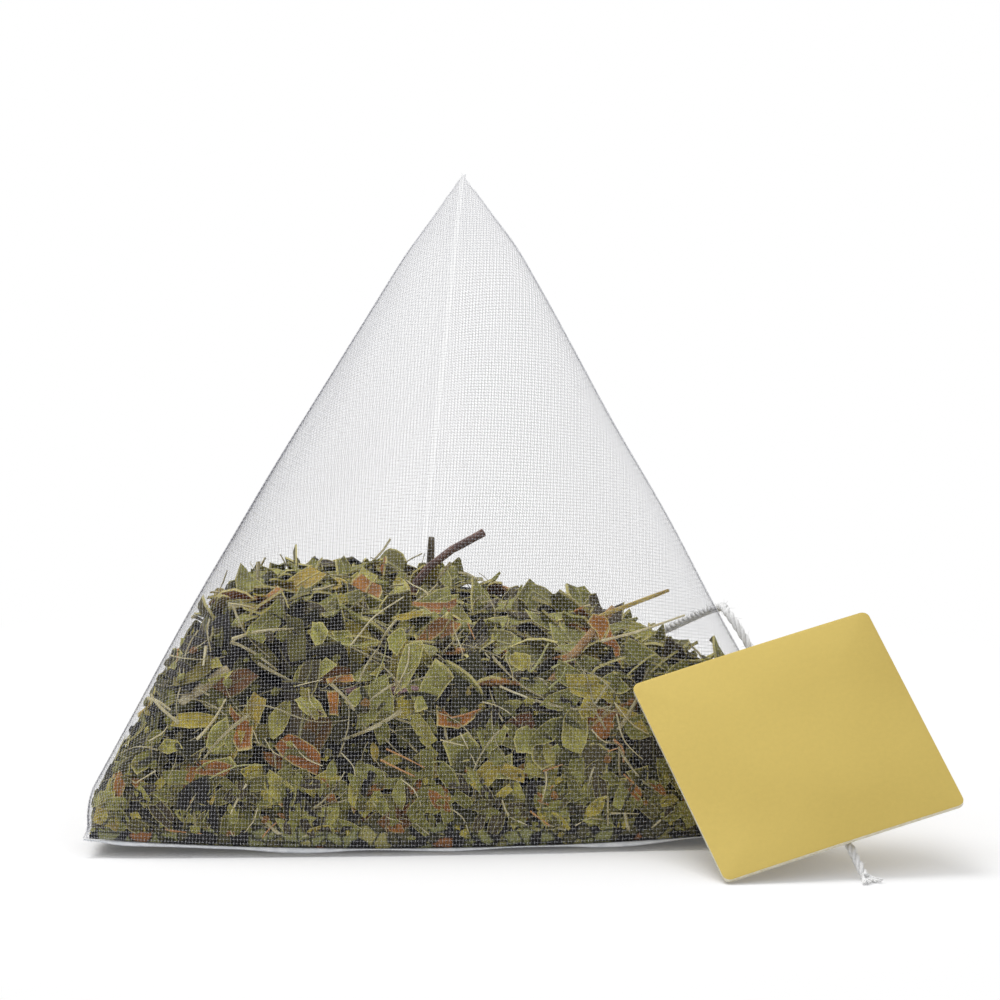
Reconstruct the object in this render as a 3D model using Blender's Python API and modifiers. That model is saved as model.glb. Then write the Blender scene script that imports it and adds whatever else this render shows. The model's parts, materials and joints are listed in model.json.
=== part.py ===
# A pyramid tea bag: a pouch of clear woven mesh holding a heap of leaf, and a card tag on a cotton string.
# The mesh is one strip made into a tube. A weld closes one end flat along X, at the front bottom edge,
# between corners L and R. A second weld closes the other end, turned a quarter turn, from the top A to the
# back corner B. Four soft folds join the corners, so the tube stands as a four-sided pyramid. Places on the
# mesh are given as the flat strip has them: u runs round the tube, starting at corner L, and v along it,
# from the front weld to the back. Units are metres and +Z is up, and the origin is under the pouch's middle.
import math
import random

import bmesh
import bpy
from mathutils import Matrix, Vector, noise
from mathutils.bvhtree import BVHTree

# Mesh strip and its two welds
SEAL_LENGTH = 0.061
CUT_LENGTH = 0.0555
CLOTH = 0.0003
SEAL_THICKNESS = 0.0006
SEAL_FIN = 0.0009
FIN_TAPER = 0.005
INSIDE_FROM_SEAL = 0.0017

# Weave, as raised ribs both ways with open squares between some of them
RIB_PITCH = 0.0043
RIB_WIDTH = 0.0015
RIB_HEIGHT = 0.00013
OPEN_EVERY = 3

# Soft form of the filled pouch
FOLD_SOFT = 0.0046
FOLD_CRISP = 0.0030
BULGE_FRONT = 0.0020
BULGE_RIGHT = 0.0014
BULGE_BOTTOM = 0.0034
BULGE_LEFT = 0.0031
APEX_LEAN = 0.0027
SEAM_LIFT = 0.0014
SEAM_SAG = 0.0007
SEAM_BOW = 0.0015
RIPPLE = 0.00025
RIPPLE_LENGTH = 0.012
DENT_DEPTH = 0.0007
DENT_WIDTH = 0.0035
DENT_TOP = (0.475, 0.76)
DENT_FOOT = (0.34, 0.57)

# The blunt corners: how far each weld's ends are drawn in, and how much of the mesh round them goes along
TUCK = 0.0016
TUCK_FRONT_REACH = 0.006
TUCK_BACK_REACH = 0.010
TIP_TUCK = 0.0011
TIP_REACH = 0.0032

# Filling
GAP = 0.0003
LEAF_LAYER = 0.0022
LEAF_THICKNESS = 0.00034
LEAF_ROUGHNESS = 0.0010
LEAF_CURL = 0.10
TOP_LEAF_LONG = 1.7
TOP_LEAF_WIDE = 1.1
HEAP_OFF_FOLD = 0.0014
HEAP_SHARE = 0.3

# Flakes against the mesh stand in cells. The clearances are shares of a cell
LEAVES_ACROSS = 10
LEAVES_ALONG = 10
FIRST_LEAF_ROW = 1.5
LEAF_OFF_FOLD = 0.56
LEAF_OFF_ROW = 0.45
STEM_CLEAR = 0.60

# Top of the heap, as a share across of the seal length and a share up of the pouch's height
FILL_LINE = (
    (-0.36, 0.310),
    (-0.28, 0.340),
    (-0.15, 0.340),
    (-0.03, 0.280),
    (0.05, 0.257),
    (0.20, 0.270),
    (0.26, 0.245),
    (0.35, 0.250),
)

# Stems, as name, start and end on the mesh as shares of the seal length and the cut length, and radius
STEMS = (
    ("stem_long_twig", (0.610, 0.177), (0.705, 0.300), 0.00050),
    ("stem_purple", (0.354, 0.187), (0.470, 0.185), 0.00050),
    ("stem_cream_stalk", (0.140, 0.186), (0.205, 0.228), 0.00070),
    ("stem_yellow", (0.735, 0.310), (0.780, 0.335), 0.00035),
)

# Stems that stand on the heap, as name, foot and bend in shares of both lengths, height and radius
STANDING_STEMS = (
    ("stem_upright", (0.014, 0.700), (0.002, -0.004), 0.0044, 0.00045),
    ("stem_curved_twig", (-0.018, 0.580), (0.100, 0.006), 0.0056, 0.00035),
)

# Leaves that lie on top of the heap, as places in shares of the seal length and the cut length
TOP_LEAVES = (
    (-0.16, 0.30),
    (-0.09, 0.46),
    (0.07, 0.46),
    (0.17, 0.28),
    (0.01, 0.30),
    (-0.24, 0.19),
    (0.26, 0.17),
)

# Tag, a square of thin card that stands on one corner and leans back on the mesh
TAG_SIZE = 0.020
TAG_THICKNESS = 0.0004
TAG_CORNER = 0.0006
TAG_CORNER_STEPS = 3
TAG_FROM_RIGHT = 0.0101
TAG_LEAN = math.radians(41.9)
TAG_TURN = math.radians(-6.2)
TAG_ROLL = math.radians(22.0)

# String, from the back weld at corner B over the ground, up the right face, over the fold and down the tag
STRING_DIAMETER = 0.0007
STRING_STEP = 0.0017
STRING_ON_TAG = 0.52
STRING_PAST_TAG = 0.0030
STRING_ON_GROUND = (
    (0.030, 1.008, 0.0015),
    (0.130, 1.065, 0.0006),
    (0.280, 1.040, 0.0004),
    (0.400, 0.940, 0.0004),
    (0.445, 0.810, 0.0004),
    (0.415, 0.700, 0.0004),
    (0.340, 0.650, 0.0012),
)
STRING_ON_MESH = (
    (1.205, 0.620, 0.0018),
    (1.080, 0.540, 0.0010),
    (0.960, 0.440, 0.0009),
    (0.885, 0.366, 0.0010),
    (0.848, 0.308, 0.0009),
)

GIRTH = 2 * SEAL_LENGTH
APEX_Y = CUT_LENGTH - SEAL_LENGTH**2 / (2 * CUT_LENGTH)
APEX_Z = math.sqrt(CUT_LENGTH**2 - APEX_Y**2)
BACK_WELD_MIDDLE = Vector((0, (APEX_Y + CUT_LENGTH) / 2, APEX_Z / 2))
ALONG = BACK_WELD_MIDDLE.normalized()
UPWARD = Vector((0, APEX_Y - CUT_LENGTH, APEX_Z)).normalized()
ACROSS = Vector((1, 0, 0))
COLUMNS = 4 * round(GIRTH / RIB_PITCH / 4)
ROWS = round(CUT_LENGTH / RIB_PITCH)

# The four faces in the order that u meets them: the way u runs, the way out, and how far each bulges
FACES = (
    ("front", ACROSS, UPWARD, BULGE_FRONT),
    ("right", -UPWARD, ACROSS, BULGE_RIGHT),
    ("bottom", -ACROSS, -UPWARD, BULGE_BOTTOM),
    ("left", UPWARD, -ACROSS, BULGE_LEFT),
)


# The corners, as u, v, the way that each is drawn in, how far, and its reach. The top is drawn in twice
CORNERS = (
    (0, 0, ACROSS, TUCK, TUCK_FRONT_REACH),
    (SEAL_LENGTH, 0, -ACROSS, TUCK, TUCK_FRONT_REACH),
    (SEAL_LENGTH / 2, CUT_LENGTH, -UPWARD, TUCK, TUCK_BACK_REACH),
    (SEAL_LENGTH / 2, CUT_LENGTH, -UPWARD, TIP_TUCK, TIP_REACH),
    (3 * SEAL_LENGTH / 2, CUT_LENGTH, Vector((0, -1, 0)), TUCK, TUCK_BACK_REACH),
)


# Shape of the pouch
def fold_radii(share):
    # The folds round off near both welds, where a section has no room for their full radius.
    room = 4 / math.pi * min(share, 1 - share) * SEAL_LENGTH / (FOLD_SOFT + FOLD_CRISP)
    size = room / (1 + room**3) ** (1 / 3)
    return (FOLD_SOFT * size, FOLD_CRISP * size)


def face_at(u, share):
    # Returns the number of the face that holds u, how far u is past its first fold, and the face's width.
    half_deep = share * SEAL_LENGTH / 2
    wide = (1 - share) * SEAL_LENGTH
    past = (u - half_deep) % GIRTH
    for number, width in enumerate((wide, 2 * half_deep, wide, 2 * half_deep)):
        if past < width or number == 3:
            return number, min(past, width), width
        past -= width


def on_section(u, share):
    # A point of the tube's section: a rectangle with rounded corners. Its girth is the same all along.
    number, past, width = face_at(u, share)
    _, way, out, _ = FACES[number]
    radii = fold_radii(share)
    first, last = radii[number % 2], radii[(number + 1) % 2]
    spread = (1 - math.pi / 4) * sum(radii)
    half_wide = ((1 - share) * SEAL_LENGTH + spread) / 2
    half_deep = share * SEAL_LENGTH + spread
    halves = [math.hypot(2 * half_wide, SEAL_THICKNESS) / 2, math.hypot(half_deep, SEAL_THICKNESS) / 2]
    half_along, half_out = halves if number % 2 == 0 else halves[::-1]
    arc_first, arc_last = math.pi / 4 * first, math.pi / 4 * last
    if past < arc_first:
        angle = (past - arc_first) / first
        side = first * (1 + math.sin(angle)) - half_along
        return way * side + out * (half_out - first * (1 - math.cos(angle)))
    if past > width - arc_last:
        angle = (past - width + arc_last) / last
        side = half_along - last * (1 - math.sin(angle))
        return way * side + out * (half_out - last * (1 - math.cos(angle)))
    straight = width - arc_first - arc_last
    done = (past - arc_first) / straight if straight > 0 else 0
    return way * (first - half_along + done * (2 * half_along - first - last)) + out * half_out


def bulge(u, share):
    # The filling pushes each face out, most a third of the way up its middle. There the factor 27 gives 1.
    number, past, width = face_at(u, share)
    _, _, out, height = FACES[number]
    side = past / width if width > 0 else 0
    base = 1 - share if number % 2 == 0 else share
    return out * height * 27 * side * (1 - side) * base**2 * (1 - base)


def on_strip(shares):
    return Vector((shares[0] * SEAL_LENGTH, shares[1] * CUT_LENGTH))


def dent(u, v):
    # A soft crease beside the left fold, where the empty top of the mesh has buckled.
    top = on_strip(DENT_TOP)
    line = on_strip(DENT_FOOT) - top
    place = Vector((u, v)) - top
    done = max(0, min(1, place.dot(line) / line.length_squared))
    away = (place - line * done).length / DENT_WIDTH
    return DENT_DEPTH * math.exp(-away * away)


def tuck(u, v):
    # How far a corner near by draws a place in.
    moved = Vector()
    for corner_u, corner_v, way, far, reach in CORNERS:
        aside = (u - corner_u + GIRTH / 2) % GIRTH - GIRTH / 2
        away = math.hypot(aside, v - corner_v) / reach
        if away < 1:
            moved += way * far * (1 - away**2) ** 2
    return moved


def bare_point(u, v):
    # The mesh before it touches the ground.
    u %= GIRTH
    share = max(0, min(1, v / CUT_LENGTH))
    point = BACK_WELD_MIDDLE * share + on_section(u, share) + bulge(u, share)
    point += ALONG * (v - share * CUT_LENGTH) + tuck(u, v)
    inside = 4 * share * (1 - share)
    _, _, out, _ = FACES[face_at(u, share)[0]]
    point += out * (RIPPLE * inside * noise.noise(point / RIPPLE_LENGTH) - dent(u, v) * inside)
    middle = max(0, 1 - (2 * point.x / SEAL_LENGTH) ** 2)
    point.x += APEX_LEAN * point.z / APEX_Z
    point.y -= SEAM_BOW * middle * (1 - share) ** 4
    point.z += SEAM_LIFT - SEAM_SAG * middle * (1 - share) ** 6
    return point


def way_out(u, v):
    # The mesh's outward direction, from two short steps on it.
    step = 0.0002
    v = max(step, min(CUT_LENGTH - step, v))
    round_it = bare_point(u + step, v) - bare_point(u - step, v)
    along_it = bare_point(u, v + step) - bare_point(u, v - step)
    return round_it.cross(along_it).normalized()


def mesh_point(u, v, depth=0.0):
    # A point at a depth under the mesh's outside. The bottom is pressed flat by the ground.
    point = bare_point(u, v) - way_out(u, v) * depth
    point.z = max(point.z, depth)
    return point


def room_at(v):
    # How thick the pouch is at v, near enough.
    return 0.8 * SEAL_LENGTH * min(v, CUT_LENGTH - v) / CUT_LENGTH


def facet_room(u, v):
    # The mesh is made of flat facets, which cut a little inside its true curve beside a fold.
    _, past, width = face_at(u, v / CUT_LENGTH)
    near_fold = max(0, 1 - min(past, width - past) / (2 * FOLD_SOFT))
    return RIB_PITCH**2 / (8 * FOLD_SOFT) * (0.2 + near_fold)


# Making objects
def collection(name):
    made = bpy.data.collections.new(name)
    bpy.context.scene.collection.children.link(made)
    return made


def material(name, colour, roughness, metallic=0.0, alpha=1.0):
    made = bpy.data.materials.new(name)
    made.use_nodes = True
    shader = made.node_tree.nodes["Principled BSDF"]
    shader.inputs["Base Color"].default_value = (*colour, 1)
    shader.inputs["Roughness"].default_value = roughness
    shader.inputs["Metallic"].default_value = metallic
    shader.inputs["Alpha"].default_value = alpha
    made.diffuse_color = (*colour, alpha)
    return made


def add(name, data, look):
    made = bpy.data.objects.new(name, data)
    made.parent = origin
    made.data.materials.append(look)
    bag.objects.link(made)
    return made


def add_bmesh(name, shape, look, smooth=True):
    bmesh.ops.recalc_face_normals(shape, faces=shape.faces)
    data = bpy.data.meshes.new(name)
    shape.to_mesh(data)
    shape.free()
    if smooth:
        data.shade_smooth()
        data.set_sharp_from_angle(angle=math.radians(40))
    return add(name, data, look)


def add_tube(name, points, radius, look, rounds):
    data = bpy.data.curves.new(name, "CURVE")
    data.dimensions = "3D"
    data.bevel_depth = radius
    data.bevel_resolution = rounds
    data.use_fill_caps = True
    spline = data.splines.new("POLY")
    spline.points.add(len(points) - 1)
    for point, place in zip(spline.points, points):
        point.co = (*place, 1)
    return add(name, data, look)


def row_heights():
    return [CUT_LENGTH * row / ROWS for row in range(ROWS + 1)]


def folds_at(v):
    half_deep = max(0, min(1, v / CUT_LENGTH)) * SEAL_LENGTH / 2
    return half_deep, SEAL_LENGTH - half_deep, SEAL_LENGTH + half_deep, GIRTH - half_deep


def column_u(column, v):
    # The columns beside a fold are drawn over to it, so that each fold runs through corners of the grid.
    pitch = GIRTH / COLUMNS
    u = column * pitch
    for fold in folds_at(v):
        nearest = round(fold / pitch)
        away = abs((column - nearest + COLUMNS / 2) % COLUMNS - COLUMNS / 2)
        u += (fold - nearest * pitch) * max(0, 1 - away / 2)
    return u


def bent_cells(low, high):
    # The cells between two rows that a fold crosses from corner to corner, and whether it rises with u. Away
    # from the welds the cells beside each turn with it, so that the round of the fold keeps its section.
    pitch = GIRTH / COLUMNS
    apart = min(low, CUT_LENGTH - high) * SEAL_LENGTH / CUT_LENGTH
    sides = (-1, 0, 1) if apart > 2 * pitch else (0,)
    bent = {}
    for start, end in zip(folds_at(low), folds_at(high)):
        start, end = round(start / pitch), round(end / pitch)
        if start != end:
            bent.update({(min(start, end) + side) % COLUMNS: end > start for side in sides})
    return bent


def skin(shape, heights, place):
    # A tube of quads round the pouch with both ends closed. It returns them as (column, row, face).
    rings = [[shape.verts.new(place(column_u(i, v), v)) for i in range(COLUMNS)] for v in heights]
    cells = []
    for row, (low, high) in enumerate(zip(rings, rings[1:])):
        bent = bent_cells(heights[row], heights[row + 1])
        for i in range(COLUMNS):
            after = (i + 1) % COLUMNS
            a, b, c, d = low[i], low[after], high[after], high[i]
            parts = [(a, b, c, d)]
            if i in bent:
                parts = [(a, b, c), (a, c, d)] if bent[i] else [(a, b, d), (b, c, d)]
            cells += [(i, row, shape.faces.new(part)) for part in parts]
    # The first ring lies flat along X and the last one from A to B, a quarter of the way round.
    for ring, start in ((rings[0], 0), (rings[-1], COLUMNS // 4)):
        for k in range(COLUMNS // 2):
            corners = [start + k, start + k + 1, start - k - 1, start - k]
            shape.faces.new(list(dict.fromkeys(ring[c % COLUMNS] for c in corners)))
    return cells


# Pouch
def is_open(column, row):
    # The open squares run in slanting rows and keep off the welds and the lap seam.
    return 0 < row < ROWS - 1 and from_lap(column) > 0 and (from_lap(column) + row) % OPEN_EVERY == 0


def from_lap(column):
    # The long lap seam is the plain column that runs from the front weld to corner B, under the bottom.
    return (column - 3 * COLUMNS // 4) % COLUMNS


def fin_point(u, v):
    # A point of the outside. Past the welds the fin runs out to nothing at its ends.
    inside = max(0, min(CUT_LENGTH, v))
    first_end = 0 if v < CUT_LENGTH / 2 else SEAL_LENGTH / 2
    along = (u - first_end) % SEAL_LENGTH
    from_end = min(along, SEAL_LENGTH - along)
    kept = min(1, (from_end + GAP) / FIN_TAPER)
    return mesh_point(u, inside + (v - inside) * kept)


def make_pouch():
    shape = bmesh.new()
    heights = row_heights()
    outside = skin(shape, [-SEAL_FIN, *heights, CUT_LENGTH + SEAL_FIN], fin_point)
    inner_heights = [INSIDE_FROM_SEAL, *heights[1:-1], CUT_LENGTH - INSIDE_FROM_SEAL]
    inside = skin(shape, inner_heights, lambda u, v: mesh_point(u, v, CLOTH))
    inside = {(column, row): face for column, row, face in inside}
    windows = []
    for column, fin_row, face in outside:
        row = fin_row - 1
        if not 0 <= row < ROWS or from_lap(column) == 0:
            continue
        opened = is_open(column, row) and len(face.verts) == 4
        bmesh.ops.inset_individual(shape, faces=[face], thickness=RIB_WIDTH / 2, depth=-RIB_HEIGHT)
        if opened:
            pane = inside[column, row]
            bmesh.ops.inset_individual(shape, faces=[pane], thickness=RIB_WIDTH / 2, depth=0)
            windows.append((face, pane))
    for face, pane in windows:
        bore(shape, face, pane)
    bmesh.ops.triangulate(shape, faces=[f for f in shape.faces if len(f.verts) > 4])
    return add_bmesh("mesh_pouch", shape, mesh_look)


def bore(shape, face, pane):
    # Opens one square through the cloth and walls its four sides.
    outer = list(face.verts)
    inner = [min(pane.verts, key=lambda other: (other.co - vert.co).length) for vert in outer]
    bmesh.ops.delete(shape, geom=[face, pane], context="FACES_ONLY")
    for k in range(4):
        after = (k + 1) % 4
        shape.faces.new((outer[k], outer[after], inner[after], inner[k]))


# Filling
def fill_share(across):
    for (left, low), (right, high) in zip(FILL_LINE, FILL_LINE[1:]):
        if across < right:
            done = max(0, (across - left) / (right - left))
            return low + (high - low) * done
    return FILL_LINE[-1][1]


def fill_height(x):
    return fill_share(x / SEAL_LENGTH) * APEX_Z


def heap_depth(u, v):
    # The heap lies on the bottom of the pouch and leaves room for the flakes against the other faces.
    number, past, width = face_at(u, v / CUT_LENGTH)
    full = CLOTH + 2 * GAP + LEAF_LAYER
    if number == 2:
        near_fold = max(0, 1 - min(past, width - past) / FOLD_SOFT)
        full = CLOTH + GAP + HEAP_OFF_FOLD * near_fold
    near_seal = CLOTH + GAP + HEAP_SHARE * max(0, room_at(v) - 3 * (CLOTH + GAP))
    return min(full, near_seal)


def heap_point(u, v):
    point = mesh_point(u, v, heap_depth(u, v) + LEAF_ROUGHNESS * side_share(u, v))
    point.z = min(point.z, fill_height(point.x) - LEAF_ROUGHNESS)
    return point


def side_share(u, v):
    # The heap's rough skin is kept off the bottom and thins out toward the welds.
    if face_at(u, v / CUT_LENGTH)[0] == 2:
        return 0
    return min(1, room_at(v) / (8 * LEAF_ROUGHNESS))


def make_heap():
    chance = random.Random(4)
    shape = bmesh.new()
    cells = skin(shape, row_heights()[1:-1], heap_point)
    bmesh.ops.recalc_face_normals(shape, faces=shape.faces)
    for _, row, face in cells:
        size = math.sqrt(face.calc_area())
        if face.normal.z < -0.3 or row in (0, ROWS - 3) or size < 3 * LEAF_ROUGHNESS:
            continue
        height = LEAF_ROUGHNESS * chance.uniform(0.25, 0.8)
        bmesh.ops.inset_individual(shape, faces=[face], thickness=0.16 * size, depth=height)
        tilt = Matrix.Rotation(math.radians(chance.uniform(-6, 6)), 3, face.calc_tangent_edge())
        bmesh.ops.rotate(shape, verts=face.verts, cent=face.calc_center_median(), matrix=tilt)
    surface = BVHTree.FromBMesh(shape)
    add_bmesh("leaf_heap", shape, heap_look, smooth=False)
    return surface


def leaf_on_mesh(name, u, v, turn, length, width, look):
    # A flake of leaf that lies against the inside of the mesh, curled along its middle.
    chance = random.Random(name)
    shape = bmesh.new()
    bmesh.ops.create_grid(shape, x_segments=3, y_segments=2, size=1)
    bend = chance.uniform(-0.25, 0.25)
    curl = chance.uniform(0.2, 1.0)
    for vert in shape.verts:
        along, side = vert.co.x, vert.co.y
        half = width / 2 * (1 - 0.55 * along * along) * chance.uniform(0.85, 1.0)
        local = Vector((along * length / 2, side * half + bend * width * (along * along - 0.5) / 2))
        local.rotate(Matrix.Rotation(turn, 2))
        place_u, place_v = u + local.x, v + local.y
        least = CLOTH + GAP + 0.7 * LEAF_THICKNESS + facet_room(place_u, place_v)
        spare = max(0, heap_depth(place_u, place_v) - GAP - 0.7 * LEAF_THICKNESS - least)
        vert.co = mesh_point(place_u, place_v, least + spare * curl * (0.15 + 0.75 * side * side))
    return add_leaf(name, shape, look)


def top_under(places):
    # The height of the heap's highest point under some places.
    hits = [heap_surface.ray_cast(Vector((x, y, APEX_Z)), Vector((0, 0, -1)))[0] for x, y in places]
    return max(hit.z for hit in hits if hit)


def leaf_on_top(name, x, y, turn, length, width, look):
    # A flake of leaf that lies on top of the heap.
    chance = random.Random(name)
    shape = bmesh.new()
    bmesh.ops.create_grid(shape, x_segments=3, y_segments=2, size=1)
    for vert in shape.verts:
        along, side = vert.co.x, vert.co.y
        half = width / 2 * (1 - 0.55 * along * along)
        local = Vector((along * length / 2, side * half))
        local.rotate(Matrix.Rotation(turn, 2))
        curl = LEAF_CURL * length * side * side * chance.uniform(0.6, 1.0)
        vert.co = (x + local.x, y + local.y, curl)
    foot = top_under([vert.co.xy for vert in shape.verts]) + GAP + LEAF_THICKNESS / 2
    bmesh.ops.translate(shape, verts=shape.verts, vec=(0, 0, foot))
    return add_leaf(name, shape, look)


def add_leaf(name, shape, look):
    made = add_bmesh(name, shape, look)
    solid = made.modifiers.new("thickness", "SOLIDIFY")
    solid.thickness = LEAF_THICKNESS
    solid.offset = 0
    return made


def away_from_stems(column, row):
    # Whether a cell is clear of each stem, with both given in cells.
    for _, start, end, _ in STEMS:
        start = Vector((start[0] * LEAVES_ACROSS, start[1] * LEAVES_ALONG))
        line = Vector((end[0] * LEAVES_ACROSS, end[1] * LEAVES_ALONG)) - start
        place = Vector((column, row)) - start
        done = max(0, min(1, place.dot(line) / line.length_squared))
        if (place - line * done).length < STEM_CLEAR:
            return False
    return True


def cell_faces(column, row):
    # The faces that a cell's four corners lie on, and the share of the pouch's height that it reaches.
    faces, tops = set(), []
    for side in (-LEAF_OFF_FOLD, LEAF_OFF_FOLD):
        for along in (-LEAF_OFF_ROW, LEAF_OFF_ROW):
            share = (row + along) / LEAVES_ALONG
            face, past, width = face_at((column + side) / LEAVES_ACROSS * SEAL_LENGTH, share)
            up = past / width if face == 3 else 1 - past / width
            faces.add(face)
            tops.append(share * up if face % 2 else share)
    return faces, max(tops)


def leaf_cells():
    # The middles of the cells that lie below the top of the heap, on one face and clear of the stems.
    for step in range(LEAVES_ALONG - 2):
        row = FIRST_LEAF_ROW + step
        for k in range(2 * LEAVES_ACROSS):
            column = k + 0.5 * (step % 2)
            faces, top = cell_faces(column, row)
            side = 0.5 - 0.5 * row / LEAVES_ALONG
            across = {0: column / LEAVES_ACROSS - 0.5, 1: side, 2: 0, 3: -side}[min(faces)]
            on_one = len(faces) == 1 and 2 not in faces
            if on_one and top < fill_share(across) and away_from_stems(column, row):
                yield column * SEAL_LENGTH / LEAVES_ACROSS, row * CUT_LENGTH / LEAVES_ALONG


def make_leaves():
    chance = random.Random(11)
    reach = min(SEAL_LENGTH / LEAVES_ACROSS, CUT_LENGTH / LEAVES_ALONG) / 2 - GAP
    count = 0
    for u, v in leaf_cells():
        count += 1
        turn = chance.uniform(0, math.pi)
        slim = chance.uniform(0.55, 0.95)
        long = reach * chance.uniform(1.75, 1.95)
        look = leaf_looks[count % len(leaf_looks)]
        leaf_on_mesh(f"leaf_{count:02}", u, v, turn, long, slim * long, look)
    for place in TOP_LEAVES:
        count += 1
        turn = chance.uniform(0, math.pi)
        look = leaf_looks[count % len(leaf_looks)]
        size = (TOP_LEAF_LONG * reach, TOP_LEAF_WIDE * reach)
        leaf_on_top(f"leaf_{count:02}", *on_strip(place), turn, *size, look)


def make_stems():
    for number, (name, start, end, radius) in enumerate(STEMS):
        points = []
        for k in range(5):
            u, v = on_strip(start).lerp(on_strip(end), k / 4)
            points.append(mesh_point(u, v, CLOTH + GAP + radius + facet_room(u, v)))
        add_tube(name, points, radius, stem_looks[number], 1)
    for number, (name, foot, bend, height, radius) in enumerate(STANDING_STEMS):
        x, y = on_strip(foot)
        around = [(x + a * radius, y + b * radius) for a in (-1, 0, 1) for b in (-1, 0, 1)]
        bottom = top_under(around) + GAP + radius / 2
        points = []
        for k in range(5):
            done = k / 4
            side = on_strip(bend) * done * done
            points.append((x + side.x, y + side.y, bottom + height * done))
        add_tube(name, points, radius, stem_looks[number], 1)


# Tag and string
def front_mesh_y(x, z):
    # How far back the front face is at x and z, by stepping v until the height fits.
    low, high = 0.0, CUT_LENGTH
    for _ in range(40):
        v = (low + high) / 2
        u = SEAL_LENGTH / 2 + x
        if bare_point(u, v).z < z:
            low = v
        else:
            high = v
    return bare_point(SEAL_LENGTH / 2 + x, low).y


def tag_frame():
    # Along the tag's bottom edge, up its side and out of its face; its foot is the corner on the ground.
    turned = Matrix.Rotation(TAG_TURN, 3, "Z") @ Matrix.Rotation(TAG_LEAN, 3, "X")
    turned @= Matrix.Rotation(TAG_ROLL, 3, "Z")
    top_left = turned @ Vector((0, TAG_SIZE, 0))
    x = SEAL_LENGTH / 2 - TAG_FROM_RIGHT
    mesh_y = front_mesh_y(x + top_left.x, top_left.z)
    y = mesh_y - top_left.y - TAG_THICKNESS - 2 * GAP
    foot = Vector((x, y, 0))
    return Matrix.Translation(foot) @ turned.to_4x4()


def make_tag():
    data = bpy.data.curves.new("tag_card", "CURVE")
    data.dimensions = "2D"
    data.fill_mode = "BOTH"
    data.extrude = TAG_THICKNESS / 2
    inset = TAG_SIZE - TAG_CORNER
    centres = ((inset, inset), (TAG_CORNER, inset), (TAG_CORNER, TAG_CORNER), (inset, TAG_CORNER))
    points = []
    for quarter, (x, y) in enumerate(centres):
        for k in range(TAG_CORNER_STEPS + 1):
            angle = math.pi / 2 * (quarter + k / TAG_CORNER_STEPS)
            points.append((x + TAG_CORNER * math.cos(angle), y + TAG_CORNER * math.sin(angle)))
    spline = data.splines.new("POLY")
    spline.points.add(len(points) - 1)
    spline.use_cyclic_u = True
    for point, (x, y) in zip(spline.points, points):
        point.co = (x, y, 0, 1)
    made = add("tag_card", data, tag_look)
    made.matrix_local = tag_frame() @ Matrix.Translation((0, 0, TAG_THICKNESS / 2))
    return made


def smooth_route(points, step):
    # Points a step apart on a smooth curve through the route's own points.
    ends = [2 * points[0] - points[1], *points, 2 * points[-1] - points[-2]]
    fine = []
    for before, start, end, after in zip(ends, ends[1:], ends[2:], ends[3:]):
        for k in range(40):
            t = k / 40
            pull = (end - before) * t + (2 * before - 5 * start + 4 * end - after) * t * t
            fine.append(start + (pull + (3 * start - before - 3 * end + after) * t**3) / 2)
    fine.append(points[-1])
    length = sum((b - a).length for a, b in zip(fine, fine[1:]))
    count = math.ceil(length / step)
    wanted, done, route = length / count, 0.0, [fine[0]]
    for a, b in zip(fine, fine[1:]):
        piece = (b - a).length
        while len(route) < count and done + piece >= wanted * len(route):
            route.append(a.lerp(b, (wanted * len(route) - done) / piece))
        done += piece
    return [*route, fine[-1]]


def make_string():
    radius = STRING_DIAMETER / 2
    route = [on_strip((x, y)).to_3d() + Vector((0, 0, z)) for x, y, z in STRING_ON_GROUND]
    for u, v, lift in STRING_ON_MESH:
        route.append(mesh_point(u * SEAL_LENGTH, v * CUT_LENGTH, -lift))
    frame = tag_frame()
    middle = STRING_ON_TAG * TAG_SIZE
    for height in (TAG_SIZE, TAG_SIZE * 2 / 3, TAG_SIZE / 3, 0, -STRING_PAST_TAG):
        route.append(frame @ Vector((middle, height, -GAP - radius)))
    laid = smooth_route(route, STRING_STEP)
    for point in laid:
        point.z = max(point.z, radius)
    add_tube("string", laid, radius, string_look, 2)


for old in list(bpy.data.objects):
    bpy.data.objects.remove(old)
bag = collection("pyramid_tea_bag")
origin = bpy.data.objects.new("origin", None)
bag.objects.link(origin)

mesh_look = material("woven_mesh", (0.86, 0.87, 0.88), 0.35, alpha=0.45)
heap_look = material("leaf_mix", (0.14, 0.15, 0.07), 0.85)
leaf_looks = [
    material("leaf_olive", (0.20, 0.22, 0.10), 0.8),
    material("leaf_grey_green", (0.30, 0.33, 0.20), 0.8),
    material("leaf_dark", (0.10, 0.12, 0.05), 0.8),
    material("leaf_rust", (0.27, 0.12, 0.05), 0.8),
]
stem_looks = [
    material("stem_brown", (0.24, 0.17, 0.09), 0.8),
    material("stem_purple_brown", (0.22, 0.12, 0.13), 0.7),
    material("stem_cream", (0.62, 0.52, 0.33), 0.8),
    material("stem_straw", (0.50, 0.44, 0.18), 0.8),
]
string_look = material("cotton", (0.88, 0.88, 0.86), 0.9)
tag_look = material("gold_card", (0.66, 0.53, 0.20), 0.35, metallic=0.3)

pouch = make_pouch()
corners = [Vector(vert.co) for vert in pouch.data.vertices]
middle_x = (min(c.x for c in corners) + max(c.x for c in corners)) / 2
middle_y = (min(c.y for c in corners) + max(c.y for c in corners)) / 2
origin.location = (-middle_x, -middle_y, 0)
heap_surface = make_heap()
make_leaves()
make_stems()
make_tag()
make_string()
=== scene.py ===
import json
import math
import random

import bmesh
import bpy
import numpy as np
from mathutils import Matrix, Vector, noise
from mathutils.bvhtree import BVHTree

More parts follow.
